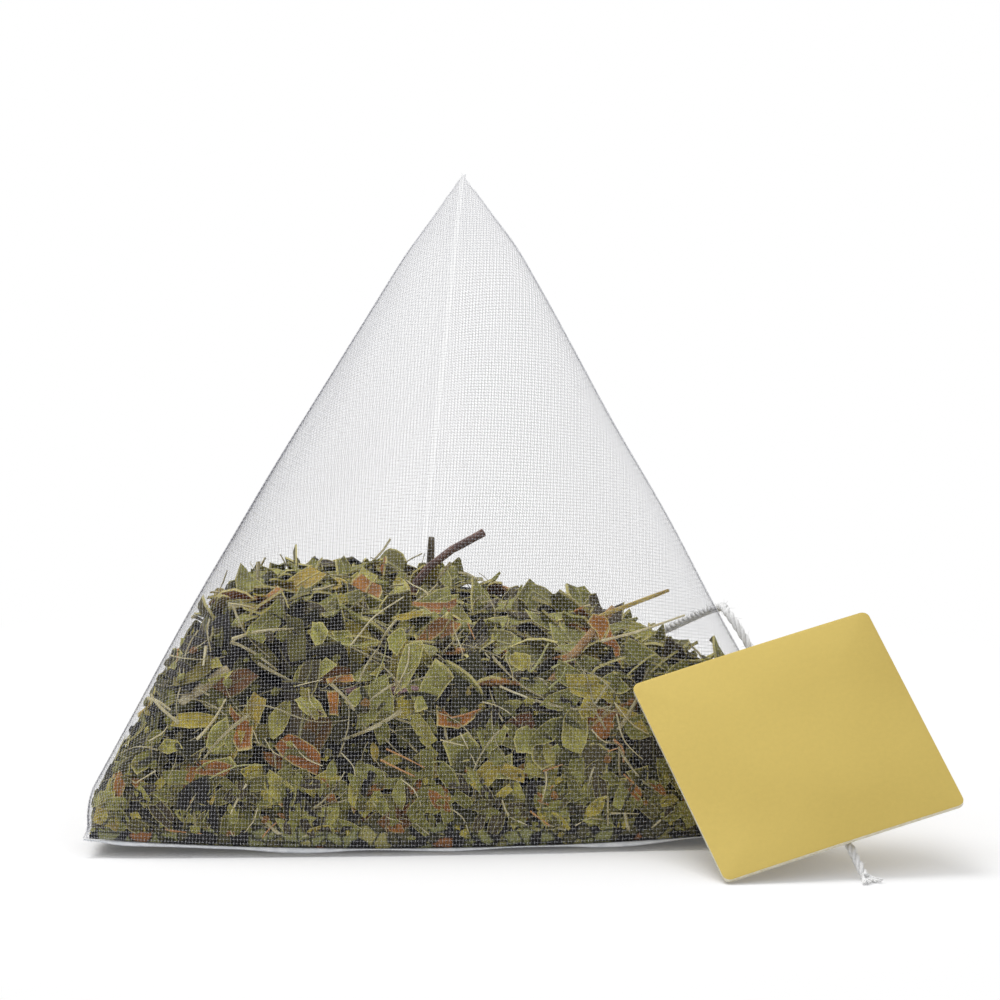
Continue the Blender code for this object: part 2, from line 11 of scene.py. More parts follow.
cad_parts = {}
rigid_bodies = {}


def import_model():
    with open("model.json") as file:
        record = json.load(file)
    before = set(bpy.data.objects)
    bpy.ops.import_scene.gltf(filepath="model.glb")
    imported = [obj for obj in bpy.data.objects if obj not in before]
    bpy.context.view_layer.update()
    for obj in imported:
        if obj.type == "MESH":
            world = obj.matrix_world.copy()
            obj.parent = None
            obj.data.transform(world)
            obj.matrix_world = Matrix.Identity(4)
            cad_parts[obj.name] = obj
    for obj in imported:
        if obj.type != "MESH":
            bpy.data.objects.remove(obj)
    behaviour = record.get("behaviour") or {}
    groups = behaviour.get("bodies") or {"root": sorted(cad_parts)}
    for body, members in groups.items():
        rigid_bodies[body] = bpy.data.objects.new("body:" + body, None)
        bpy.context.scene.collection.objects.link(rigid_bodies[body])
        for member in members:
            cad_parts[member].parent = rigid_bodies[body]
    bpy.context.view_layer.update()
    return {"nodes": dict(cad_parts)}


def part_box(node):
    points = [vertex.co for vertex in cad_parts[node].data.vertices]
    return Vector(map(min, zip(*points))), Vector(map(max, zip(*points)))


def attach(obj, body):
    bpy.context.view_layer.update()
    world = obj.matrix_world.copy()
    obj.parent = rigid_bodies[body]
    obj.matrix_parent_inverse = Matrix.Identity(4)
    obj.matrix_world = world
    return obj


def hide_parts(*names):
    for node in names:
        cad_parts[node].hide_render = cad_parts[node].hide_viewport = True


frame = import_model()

nodes = frame["nodes"]
flakeNodes = sorted(name for name in nodes if name.startswith("leaf_") and name != "leaf_heap")
scratch = bpy.data.collections.new("shapesToScatter")
bpy.context.scene.collection.children.link(scratch)


# Camera: where the photograph was taken from
view = {
    "azimuth": math.radians(3.48),
    "elevation": math.radians(10.49),
    "distance": 0.4974,
    "target": Vector((0, -0.005, 0.022)),
    "focalPixels": 6121.3,
    "targetPixel": (432.7, 526.15),
    "framePixels": 1000,
    "sensorMm": 36,
    "clipStart": 0.01,
}


def viewAxes():
    a, e = view["azimuth"], view["elevation"]
    ahead = Vector((math.sin(a) * math.cos(e), math.cos(a) * math.cos(e), -math.sin(e)))
    right = Vector((math.cos(a), -math.sin(a), 0))
    return ahead, right, right.cross(ahead)


def pixelRay(x, y):
    # From the camera through a pixel of the photograph.
    ahead, right, up = viewAxes()
    across, down = x - view["targetPixel"][0], y - view["targetPixel"][1]
    return view["target"] - ahead * view["distance"], (
        ahead * view["focalPixels"] + right * across - up * down).normalized()


def placeCamera():
    place, towards = pixelRay(view["framePixels"] / 2, view["framePixels"] / 2)
    aim = place + towards * view["distance"]
    data = bpy.data.cameras.new("photoCamera")
    data.sensor_width = view["sensorMm"]
    data.lens = view["focalPixels"] / view["framePixels"] * view["sensorMm"]
    data.clip_start = view["clipStart"]
    camera = bpy.data.objects.new("photoCamera", data)
    camera.location = place
    camera.rotation_euler = (aim - place).to_track_quat("-Z", "Y").to_euler()
    bpy.context.scene.collection.objects.link(camera)
    bpy.context.scene.camera = camera


placeCamera()
print("camera placed")


# Shape of the pouch, by the rules that its solid follows. u runs round the tube of mesh, v along it
pouch = {
    "sealLength": 0.061,
    "cutLength": 0.0555,
    "cloth": 0.0003,
    "sealThickness": 0.0006,
    "sealFin": 0.0009,
    "finTaper": 0.005,
    "foldSoft": 0.0046,
    "foldCrisp": 0.0030,
    "apexLean": 0.0027,
    "seamLift": 0.0014,
    "seamSag": 0.0010,
    "seamBow": 0.0015,
    "ripple": 0.00025,
    "rippleLength": 0.012,
    "dentDepth": 0.0007,
    "dentWidth": 0.0035,
    "dentTop": (0.475, 0.76),
    "dentFoot": (0.34, 0.57),
    "bulges": (0.0020, 0.0014, 0.0034, 0.0031),  # front, right, under and left
    "endTuck": (0.0016, 0.006),  # how far a corner is drawn in, and from how far round it
    "weldTuck": (0.0016, 0.010),
    "tipTuck": (0.0005, 0.0030),
    "solidColumns": 56,
    "solidRows": 13,
    "fillLine": (
        (-0.36, 0.310),
        (-0.28, 0.340),
        (-0.15, 0.340),
        (-0.03, 0.280),
        (0.05, 0.257),
        (0.20, 0.270),
        (0.26, 0.245),
        (0.35, 0.250),
    ),
}
sealLength = pouch["sealLength"]
cutLength = pouch["cutLength"]
girth = 2 * sealLength
apexY = cutLength - sealLength**2 / (2 * cutLength)
apexZ = math.sqrt(cutLength**2 - apexY**2)
backWeldMiddle = Vector((0, (apexY + cutLength) / 2, apexZ / 2))
along = backWeldMiddle.normalized()
upward = Vector((0, apexY - cutLength, apexZ)).normalized()
across = Vector((1, 0, 0))
faces = tuple(zip((across, -upward, -across, upward), (upward, across, -upward, -across), pouch["bulges"]))
pouchCorners = (
    (0, 0, across, *pouch["endTuck"]),
    (sealLength, 0, -across, *pouch["endTuck"]),
    (sealLength / 2, cutLength, -upward, *pouch["weldTuck"]),
    (sealLength / 2, cutLength, -upward, *pouch["tipTuck"]),
    (3 * sealLength / 2, cutLength, Vector((0, -1, 0)), *pouch["weldTuck"]),
)


def foldRadii(share):
    room = 4 / math.pi * min(share, 1 - share) * sealLength / (pouch["foldSoft"] + pouch["foldCrisp"])
    size = room / (1 + room**3) ** (1 / 3)
    return pouch["foldSoft"] * size, pouch["foldCrisp"] * size


def faceAt(u, share):
    halfDeep = share * sealLength / 2
    wide = (1 - share) * sealLength
    past = (u - halfDeep) % girth
    for number, width in enumerate((wide, 2 * halfDeep, wide, 2 * halfDeep)):
        if past < width or number == 3:
            return number, min(past, width), width
        past -= width


def onSection(u, share, number, past, width):
    way, out, _ = faces[number]
    radii = foldRadii(share)
    first, last = radii[number % 2], radii[(number + 1) % 2]
    spread = (1 - math.pi / 4) * sum(radii)
    halfWide = ((1 - share) * sealLength + spread) / 2
    halfDeep = share * sealLength + spread
    thick = pouch["sealThickness"]
    halves = [math.hypot(2 * halfWide, thick) / 2, math.hypot(halfDeep, thick) / 2]
    halfAlong, halfOut = halves if number % 2 == 0 else halves[::-1]
    arcFirst, arcLast = math.pi / 4 * first, math.pi / 4 * last
    if past < arcFirst:
        angle = (past - arcFirst) / first
        side = first * (1 + math.sin(angle)) - halfAlong
        return way * side + out * (halfOut - first * (1 - math.cos(angle)))
    if past > width - arcLast:
        angle = (past - width + arcLast) / last
        side = halfAlong - last * (1 - math.sin(angle))
        return way * side + out * (halfOut - last * (1 - math.cos(angle)))
    straight = width - arcFirst - arcLast
    done = (past - arcFirst) / straight if straight > 0 else 0
    return way * (first - halfAlong + done * (2 * halfAlong - first - last)) + out * halfOut


def dentAt(u, v):
    top = Vector((pouch["dentTop"][0] * sealLength, pouch["dentTop"][1] * cutLength))
    line = Vector((pouch["dentFoot"][0] * sealLength, pouch["dentFoot"][1] * cutLength)) - top
    place = Vector((u, v)) - top
    done = max(0, min(1, place.dot(line) / line.length_squared))
    away = (place - line * done).length / pouch["dentWidth"]
    return pouch["dentDepth"] * math.exp(-away * away)


def tuckAt(u, v):
    moved = Vector()
    for cornerU, cornerV, way, far, reach in pouchCorners:
        aside = (u - cornerU + girth / 2) % girth - girth / 2
        away = math.hypot(aside, v - cornerV) / reach
        if away < 1:
            moved += way * far * (1 - away**2) ** 2
    return moved


def stripPoint(u, v):
    # A point of the mesh in the strip's own frame, whose origin is the middle of the front weld.
    u %= girth
    share = max(0, min(1, v / cutLength))
    number, past, width = faceAt(u, share)
    out, height = faces[number][1], faces[number][2]
    side = past / width if width > 0 else 0
    base = 1 - share if number % 2 == 0 else share
    point = backWeldMiddle * share + onSection(u, share, number, past, width)
    point += out * height * 27 * side * (1 - side) * base**2 * (1 - base)
    point += along * (v - share * cutLength) + tuckAt(u, v)
    inside = 4 * share * (1 - share)
    shift = pouch["ripple"] * noise.noise(point / pouch["rippleLength"]) - dentAt(u, v)
    point += out * shift * inside
    middle = max(0, 1 - (2 * point.x / sealLength) ** 2)
    point.x += pouch["apexLean"] * point.z / apexZ
    point.y -= pouch["seamBow"] * middle * (1 - share) ** 4
    point.z += pouch["seamLift"] - pouch["seamSag"] * middle * (1 - share) ** 6
    return point


def finKept(u, v):
    # How much of the fin is left near the ends of its weld.
    firstEnd = 0 if v < cutLength / 2 else sealLength / 2
    fromFirst = (u - firstEnd) % sealLength
    fromEnd = min(fromFirst, sealLength - fromFirst)
    return min(1, (fromEnd + pouch["cloth"]) / pouch["finTaper"])


def originShift():
    # The solid stands with the middle of its box over the origin. The box is set by the two welds.
    rim, rows = [], pouch["solidRows"]
    for k in range(pouch["solidColumns"] + 1):
        u = girth * k / pouch["solidColumns"]
        for v in (0, cutLength / rows, cutLength * (rows - 1) / rows, cutLength):
            rim.append(stripPoint(u, v))
        for v, fin in ((0, -pouch["sealFin"]), (cutLength, pouch["sealFin"])):
            rim.append(stripPoint(u, v + fin * finKept(u, v)))
    xs, ys = [p.x for p in rim], [p.y for p in rim]
    return Vector((-(min(xs) + max(xs)) / 2, -(min(ys) + max(ys)) / 2, 0))


toWorld = originShift()


def wayOut(u, v):
    step = 0.0002
    v = max(step, min(cutLength - step, v))
    roundIt = stripPoint(u + step, v) - stripPoint(u - step, v)
    alongIt = stripPoint(u, v + step) - stripPoint(u, v - step)
    return roundIt.cross(alongIt).normalized()


def meshPoint(u, v, depth=0.0):
    # A point in the world at a depth under the mesh's outside.
    point = stripPoint(u, v) - wayOut(u, v) * depth
    point.z = max(point.z, depth)
    return point + toWorld


def fillHeight(x):
    share = (x - toWorld.x) / sealLength
    for (left, low), (right, high) in zip(pouch["fillLine"], pouch["fillLine"][1:]):
        if share < right:
            return (low + (high - low) * max(0, (share - left) / (right - left))) * apexZ
    return pouch["fillLine"][-1][1] * apexZ


solidLow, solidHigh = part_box("mesh_pouch")
print("pouch rules against its solid, mm:", [round(1000 * (meshPoint(0, 0).x - solidLow.x), 2),
      round(1000 * (meshPoint(sealLength * 1.5, cutLength).y - solidHigh.y), 2)])


# Materials
def feed(tree, socket, value):
    # Joins the socket to another one, or sets its constant.
    if isinstance(value, bpy.types.NodeSocket):
        tree.links.new(value, socket)
    else:
        socket.default_value = (*value, 1) if socket.type == "RGBA" else value


def newMaterial(name, values):
    material = bpy.data.materials.new(name)
    material.use_nodes = True
    shader = material.node_tree.nodes["Principled BSDF"]
    for key, value in values.items():
        shader.inputs[key].default_value = value
    return material, material.node_tree, shader


def addNode(tree, kind, settings=None, **inputs):
    # A key such as in0 is an input's number, and any other is its name.
    node = tree.nodes.new(kind)
    for key, value in (settings or {}).items():
        setattr(node, key, value)
    for key, value in inputs.items():
        feed(tree, node.inputs[int(key[2:])] if key.startswith("in") else node.inputs[key], value)
    return node


def rampNode(tree, factor, stops, smooth="LINEAR"):
    node = addNode(tree, "ShaderNodeValToRGB", in0=factor)
    node.color_ramp.interpolation = smooth
    elements = node.color_ramp.elements
    while len(elements) < len(stops):
        elements.new(0.5)
    for element, (place, colour) in zip(elements, stops):
        element.position = place
        element.color = (*colour, 1)
    return node.outputs[0]


def mathNode(tree, operation, first, second=0.0):
    return addNode(tree, "ShaderNodeMath", {"operation": operation}, in0=first, in1=second).outputs[0]


def mapRange(tree, value, fromLow, fromHigh, toLow, toHigh):
    return addNode(tree, "ShaderNodeMapRange", in0=value, in1=fromLow, in2=fromHigh, in3=toLow,
                   in4=toHigh).outputs[0]


def mixColours(tree, blend, factor, first, second):
    return addNode(tree, "ShaderNodeMix", {"data_type": "RGBA", "blend_type": blend}, in0=factor, in6=first,
                   in7=second).outputs[2]


def objectPlace(tree):
    return addNode(tree, "ShaderNodeTexCoord").outputs["Object"]


def objectNoise(tree, scale, detail=2.0, roughness=0.5):
    return addNode(tree, "ShaderNodeTexNoise", Vector=objectPlace(tree), Scale=scale, Detail=detail,
                   Roughness=roughness).outputs[0]


def addBump(tree, shader, height, distance, strength=1.0):
    bump = addNode(tree, "ShaderNodeBump", Height=height, Distance=distance, Strength=strength)
    tree.links.new(bump.outputs[0], shader.inputs["Normal"])


def mottledFinish(name, values, pattern, stops, relief=None):
    # pattern is the noise's scale and detail, and relief is the bump's scale, detail and depth.
    material, tree, shader = newMaterial(name, values)
    colour = rampNode(tree, objectNoise(tree, *pattern), stops)
    tree.links.new(colour, shader.inputs["Base Color"])
    if relief:
        scale, detail, depth = relief
        addBump(tree, shader, objectNoise(tree, scale, detail), depth)
    return material


# Objects
def newObject(name, mesh, material, smooth=True):
    piece = bpy.data.objects.new(name, mesh)
    bpy.context.scene.collection.objects.link(piece)
    if material:
        mesh.materials.clear()
        mesh.materials.append(material)
    if smooth:
        mesh.shade_smooth()
    return piece


def dress(piece, slot, *replaced):
    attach(piece, "root")
    if replaced:
        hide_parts(*replaced)


def meshFrom(name, points, polygons=(), edges=()):
    mesh = bpy.data.meshes.new(name)
    mesh.from_pydata([tuple(p) for p in points], list(edges), list(polygons))
    mesh.update()
    return mesh


def outwardMesh(name, points, polygons):
    mesh = meshFrom(name, points, polygons)
    shape = bmesh.new()
    shape.from_mesh(mesh)
    bmesh.ops.recalc_face_normals(shape, faces=shape.faces)
    shape.to_mesh(mesh)
    shape.free()
    return mesh


def tubeFaces(rings, size):
    # Closes a row of rings of points, and both of its ends.
    sides = [(k * size + j, (k + 1) * size + j, (k + 1) * size + (j + 1) % size, k * size + (j + 1) % size)
             for k in range(rings - 1) for j in range(size)]
    return sides + [tuple(range(size)), tuple(range((rings - 1) * size, rings * size))[::-1]]


def pointValues(mesh, name, values, kind="FLOAT"):
    field = "vector" if kind == "FLOAT_VECTOR" else "value"
    mesh.attributes.new(name, kind, "POINT").data.foreach_set(field, values)


def flakeMap(mesh, uvs):
    # The map that the leaf's and the stalks' materials read, from one place for each point.
    layer = mesh.uv_layers.new(name="flake")
    for loop in mesh.loops:
        layer.data[loop.index].uv = uvs[loop.vertex_index]


def newTree(name, sockets):
    tree = bpy.data.node_groups.new(name, "GeometryNodeTree")
    tree.interface.new_socket("Geometry", in_out="INPUT", socket_type="NodeSocketGeometry")
    tree.interface.new_socket("Geometry", in_out="OUTPUT", socket_type="NodeSocketGeometry")
    for socketName, kind in sockets:
        tree.interface.new_socket(socketName, in_out="INPUT", socket_type="NodeSocket" + kind)
    return tree, tree.nodes.new("NodeGroupInput"), tree.nodes.new("NodeGroupOutput")


def runTree(piece, tree, values):
    # Runs the tree on the piece once and keeps the plain mesh that comes out.
    modifier = piece.modifiers.new(tree.name, "NODES")
    modifier.node_group = tree
    for item in tree.interface.items_tree:
        if item.in_out == "INPUT" and item.name in values:
            modifier[item.identifier] = values[item.name]
    bpy.context.view_layer.update()
    mesh = bpy.data.meshes.new_from_object(piece.evaluated_get(bpy.context.evaluated_depsgraph_get()))
    piece.modifiers.remove(modifier)
    old = piece.data
    piece.data = mesh
    bpy.data.meshes.remove(old)


def threadTree():
    # Makes a round thread of every chain of edges: the mesh's threads, the string's plies and the stems.
    tree, start, end = newTree("threadsFromGuides", (("Radius", "Float"), ("Sides", "Int"),
                                                     ("Finish", "Material")))
    given = start.outputs
    curve = addNode(tree, "GeometryNodeMeshToCurve", Mesh=given["Geometry"])
    profile = addNode(tree, "GeometryNodeCurvePrimitiveCircle", Resolution=given["Sides"], Radius=given["Radius"])
    swell = addNode(tree, "GeometryNodeInputNamedAttribute", {"data_type": "FLOAT"}, Name="swell")
    solid = addNode(tree, "GeometryNodeCurveToMesh", Curve=curve.outputs[0], Scale=swell.outputs[0])
    tree.links.new(profile.outputs[0], solid.inputs["Profile Curve"])
    solid.inputs["Fill Caps"].default_value = True
    whole = addNode(tree, "GeometryNodeRealizeInstances", Geometry=solid.outputs[0])
    looks = addNode(tree, "GeometryNodeSetMaterial", Geometry=whole.outputs[0], Material=given["Finish"])
    tree.links.new(looks.outputs[0], end.inputs[0])
    return tree


threads = threadTree()


def guideObject(name, chains, swell=None, crossing=None):
    # chains is a list of rows of points; swell says how thick each point is, and crossing where it lies over.
    points, edges = [], []
    for chain in chains:
        first = len(points)
        points += [tuple(p) for p in chain]
        edges += [(first + k, first + k + 1) for k in range(len(chain) - 1)]
    mesh = meshFrom(name, points, edges=edges)
    pointValues(mesh, "swell", np.ones(len(points)) if swell is None else swell)
    if crossing is not None:
        pointValues(mesh, "crossing", crossing)
    return newObject(name, mesh, None, smooth=False)


# String: white twisted cotton, from the back weld over the ground, up the right face and down behind the tag
tag = {
    "size": 0.020,
    "thickness": 0.0004,
    "corner": 0.0006,
    "cornerSteps": 6,
    "sideSteps": 12,
    "bow": 0.00010,
    "fromRight": 0.0101,
    "lean": math.radians(41.9),
    "turn": math.radians(-6.2),
    "roll": math.radians(22.0),
    "rings": ((0.05, 1.0), (0.5, 1.0), (0.97, 1.0), (1.0, 0.9), (1.0, 0.0), (1.0, -0.9), (0.97, -1.0),
              (0.5, -1.0), (0.05, -1.0)),  # share of the outline, and level in the thickness
}
string = {
    "diameter": 0.0007,
    "step": 0.0017,
    "onTag": 0.52,
    "pastTag": 0.0030,
    "onGround": (
        (0.030, 1.008, 0.0015),
        (0.130, 1.065, 0.0006),
        (0.280, 1.040, 0.0004),
        (0.400, 0.940, 0.0004),
        (0.445, 0.810, 0.0004),
        (0.415, 0.700, 0.0004),
        (0.340, 0.650, 0.0012),
    ),
    "onMesh": (
        (1.205, 0.620, 0.0018),
        (1.080, 0.540, 0.0010),
        (0.960, 0.440, 0.0009),
        (0.885, 0.366, 0.0010),
        (0.848, 0.308, 0.0009),
    ),
    "plies": 3,
    "plyRadius": 0.00017,
    "plyOff": 0.00019,
    "plySwell": 0.12,
    "swellLength": 0.0009,
    "twistLength": 0.0024,
    "fineStep": 0.0003,
    "frayEnds": 9,
    "frayPoints": 6,
    "frayLength": 0.0021,
    "fraySpread": 0.0019,
    "frayOff": 0.00012,
    "frayRadius": 0.72,
    "fuzzHairs": 220,
    "fuzzPoints": 4,
    "fuzzLength": (0.0004, 0.0010),
    "fuzzLean": 1.2,
    "fuzzOff": (0.0003, 0.0004),
    "fuzzRadius": 0.09,
}
gap = 0.0003


def frontMeshY(x, z):
    low, high = 0.0, cutLength
    for _ in range(40):
        v = (low + high) / 2
        if stripPoint(sealLength / 2 + x, v).z < z:
            low = v
        else:
            high = v
    return stripPoint(sealLength / 2 + x, low).y


def tagFrame():
    turned = Matrix.Rotation(tag["turn"], 3, "Z") @ Matrix.Rotation(tag["lean"], 3, "X")
    turned @= Matrix.Rotation(tag["roll"], 3, "Z")
    topLeft = turned @ Vector((0, tag["size"], 0))
    x = sealLength / 2 - tag["fromRight"]
    y = frontMeshY(x + topLeft.x, topLeft.z) - topLeft.y - tag["thickness"] - 2 * gap
    return Matrix.Translation(Vector((x, y, 0)) + toWorld) @ turned.to_4x4()


def smoothRoute(points, step):
    ends = [2 * points[0] - points[1], *points, 2 * points[-1] - points[-2]]
    fine = []
    for before, start, end, after in zip(ends, ends[1:], ends[2:], ends[3:]):
        for k in range(40):
            t = k / 40
            pull = (end - before) * t + (2 * before - 5 * start + 4 * end - after) * t * t
            fine.append(start + (pull + (3 * start - before - 3 * end + after) * t**3) / 2)
    fine.append(points[-1])
    length = sum((b - a).length for a, b in zip(fine, fine[1:]))
    count = math.ceil(length / step)
    wanted, done, route = length / count, 0.0, [fine[0]]
    for a, b in zip(fine, fine[1:]):
        piece = (b - a).length
        while len(route) < count and done + piece >= wanted * len(route):
            route.append(a.lerp(b, (wanted * len(route) - done) / piece))
        done += piece
    return [*route, fine[-1]], length


def stringRoute(step):
    # From the back corner, where the string is caught in the weld, to its loose end past the tag.
    radius = string["diameter"] / 2
    route = [stripPoint(1.5 * sealLength, cutLength) + toWorld]
    route += [Vector((x * sealLength, y * cutLength, z)) + toWorld for x, y, z in string["onGround"]]
    for u, v, lift in string["onMesh"]:
        route.append(meshPoint(u * sealLength, v * cutLength, -lift))
    placed = tagFrame()
    size = tag["size"]
    for height in (size, size * 2 / 3, size / 3, 0, -string["pastTag"]):
        route.append(placed @ Vector((string["onTag"] * size, height, -gap - radius)))
    laid, length = smoothRoute(route, step)
    for point in laid:
        point.z = max(point.z, radius)
    return laid, length


def twistedPlies(route):
    # Each ply winds round the route. The last stretch opens into loose ends.
    chance = random.Random(3)
    chains, swell = [], []
    side = Vector((0, 0, 1))
    sides, ways = [], []
    for k in range(len(route)):
        way = (route[min(k + 1, len(route) - 1)] - route[max(k - 1, 0)]).normalized()
        side = (side - way * side.dot(way)).normalized()
        sides.append(side.copy())
        ways.append(way)
    step = (route[1] - route[0]).length
    for ply in range(string["plies"]):
        chain = []
        for k, point in enumerate(route):
            turn = 2 * math.pi * (ply / string["plies"] + k * step / string["twistLength"])
            chain.append(point + Matrix.Rotation(turn, 3, ways[k]) @ sides[k] * string["plyOff"])
            bump = noise.noise(Vector((k * step / string["swellLength"], ply * 7, 0)))
            swell.append(1 + string["plySwell"] * bump)
        chains.append(chain)
    end, way, side = route[-1], ways[-1], sides[-1]
    flat = (way - Vector((0, 0, way.z))).normalized()
    count = string["frayEnds"]
    for k in range(count):
        out = Matrix.Rotation(2 * math.pi * k / count, 3, way) @ side * string["frayOff"]
        sideways = Vector((-flat.y, flat.x, 0)) * (k - (count - 1) / 2) / count * string["fraySpread"]
        chain = []
        reach = string["frayLength"] * chance.uniform(0.75, 1.0)
        for t in np.linspace(0, 1, string["frayPoints"]):
            place = end + way * reach * (t - 0.4) + out + sideways * t
            place.z = max(place.z, 0.00012 + 0.00008 * (k % 3))
            chain.append(place)
            swell.append(string["frayRadius"] * (1 - 0.25 * t))
        chains.append(chain)
    return chains, swell


def fuzzOn(route):
    # Fine loose fibres that stand off the cotton.
    chance = random.Random(8)
    chains, swell = [], []
    near, rise = string["fuzzOff"]
    for _ in range(string["fuzzHairs"]):
        k = chance.randrange(2, len(route) - 3)
        way = (route[k + 1] - route[k]).normalized()
        out = Vector((chance.gauss(0, 1), chance.gauss(0, 1), chance.gauss(0, 1)))
        out = (out - way * out.dot(way)).normalized()
        reach = chance.uniform(*string["fuzzLength"])
        lean = chance.uniform(-string["fuzzLean"], string["fuzzLean"])
        chain = []
        for t in np.linspace(0, 1, string["fuzzPoints"]):
            place = route[k] + out * (near + rise * t) + way * lean * reach * t * (1.2 - 0.4 * t)
            place.z = max(place.z, 0.00003)
            chain.append(place)
            swell.append(string["fuzzRadius"] * (1 - 0.5 * t))
        chains.append(chain)
    return chains, swell


def makeString():
    cotton = mottledFinish("whiteCotton", {"Roughness": 0.9, "Specular IOR Level": 0.2, "Sheen Weight": 0.25},
                           (2600, 3), ((0.25, (0.84, 0.84, 0.83)), (0.7, (0.98, 0.98, 0.98))),
                           relief=(5200, 3, 0.00006))
    route, length = stringRoute(string["fineStep"])
    chains, swell = twistedPlies(route)
    fuzz, fuzzSwell = fuzzOn(route)
    piece = guideObject("cottonString", chains + fuzz, swell + fuzzSwell)
    runTree(piece, threads, {"Radius": string["plyRadius"], "Sides": 6, "Finish": cotton})
    piece.data.shade_smooth()
    dress(piece, "cotton", "string")
    return piece, stringRoute(string["step"])[0], length


cottonString, stringPath, stringLength = makeString()
print("string made, length mm", round(stringLength * 1000, 1))


# Tag: a bare square of satin gold card with a pale core that shows along its cut edge
def goldFinish():
    material, tree, shader = newMaterial("satinGoldCard", {"Metallic": 0.35, "Roughness": 0.42})
    cloud = objectNoise(tree, 55, 2)
    grain = objectNoise(tree, 2600, 3, 0.6)
    colour = rampNode(tree, cloud, ((0.30, (0.54, 0.400, 0.088)), (0.72, (0.63, 0.475, 0.115))))
    tree.links.new(mixColours(tree, "MULTIPLY", 0.10, colour, grain), shader.inputs["Base Color"])
    addBump(tree, shader, grain, 0.000008)
    return material


def tagOutline():
    # A square with round corners, about its middle.
    corner = tag["corner"]
    inset = tag["size"] / 2 - corner
    centres = [Vector((x * inset, y * inset)) for x, y in ((1, 1), (-1, 1), (-1, -1), (1, -1))]
    outline = []
    for quarter, centre in enumerate(centres):
        for k in range(tag["cornerSteps"] + 1):
            angle = math.pi / 2 * (quarter + k / tag["cornerSteps"])
            outline.append(centre + corner * Vector((math.cos(angle), math.sin(angle))))
        angle = math.pi / 2 * (quarter + 1)
        last = centres[(quarter + 1) % 4] + corner * Vector((math.cos(angle), math.sin(angle)))
        first = outline[-1].copy()
        outline += [first.lerp(last, k / tag["sideSteps"]) for k in range(1, tag["sideSteps"])]
    return outline


def makeTag():
    # The cut edges are softened, and the card bows very slightly, as thin card does.
    half = tag["size"] / 2
    outline = tagOutline()
    placed = tagFrame()
    points = []
    for scale, level in tag["rings"]:
        for place in outline:
            p = place * scale
            bow = tag["bow"] * (1 - (p.x / half) ** 2)
            points.append(placed @ Vector((half + p.x, half + p.y, tag["thickness"] / 2 * (1 + level) + bow)))
    mesh = meshFrom("goldTag", points, tubeFaces(len(tag["rings"]), len(outline)))
    piece = newObject("goldTag", mesh, goldFinish())
    mesh.materials.append(mottledFinish(
        "cardCore", {"Roughness": 0.85}, (1800, 2), ((0.3, (0.72, 0.66, 0.48)), (0.7, (0.86, 0.82, 0.68)))))
    normal = placed.to_3x3() @ Vector((0, 0, 1))
    for polygon in mesh.polygons:
        if abs(polygon.normal.dot(normal)) < 0.35:
            polygon.material_index = 1
    mesh.set_sharp_from_angle(angle=math.radians(50))
    dress(piece, "gold_card", "tag_card")
    return piece


goldTag = makeTag()
print("tag made")


# Mesh pouch: every thread of the weave, welded flat at the front and at the back
weave = {
    "pitch": 0.000267,
    "threadRadius": 0.000036,
    "warpDepth": 0.00004,
    "weftDepth": 0.00010,
    "columns": 192,
    "rows": 60,
    "weldSink": 0.00008,
    "weldReach": 0.0008,
}


def surfaceGrid():
    # Points and outward directions on a grid over the whole pouch, from weld to weld.
    vs = np.linspace(0, 1, weave["rows"] + 1)
    us = np.linspace(0, girth, weave["columns"] + 1)
    places = np.zeros((len(us), len(vs), 3))
    ways = np.zeros((len(us), len(vs), 3))
    for i, u in enumerate(us[:-1]):
        for j, share in enumerate(vs):
            places[i, j] = stripPoint(u, cutLength * share) + toWorld
            ways[i, j] = wayOut(u, cutLength * share)
    places[-1], ways[-1] = places[0], ways[0]
    return places, ways


gridPlaces, gridWays = surfaceGrid()
pouchSkin = BVHTree.FromPolygons(
    [tuple(p) for p in gridPlaces.reshape(-1, 3)],
    [(i * (weave["rows"] + 1) + j, (i + 1) * (weave["rows"] + 1) + j,
      (i + 1) * (weave["rows"] + 1) + j + 1, i * (weave["rows"] + 1) + j + 1)
     for i in range(weave["columns"]) for j in range(weave["rows"])])


def gridAt(columns, rows, depth):
    # Points at fractional places of the grid, under the surface by a depth that grows at the welds.
    i = np.clip(np.floor(columns).astype(int), 0, weave["columns"] - 1)
    j = np.clip(np.floor(rows).astype(int), 0, weave["rows"] - 1)
    a, b = (columns - i)[:, None], (rows - j)[:, None]

    def mixed(grid):
        low = grid[i, j] * (1 - a) + grid[i + 1, j] * a
        high = grid[i, j + 1] * (1 - a) + grid[i + 1, j + 1] * a
        return low * (1 - b) + high * b

    span = cutLength / weave["rows"]
    fromWeld = np.minimum(rows, weave["rows"] - rows) * span
    sink = weave["weldSink"] * np.clip(1 - fromWeld / weave["weldReach"], 0, 1)
    points = mixed(gridPlaces) - mixed(gridWays) * (depth + sink)[:, None]
    points[:, 2] = np.maximum(points[:, 2], weave["threadRadius"] + 0.00001)
    return points


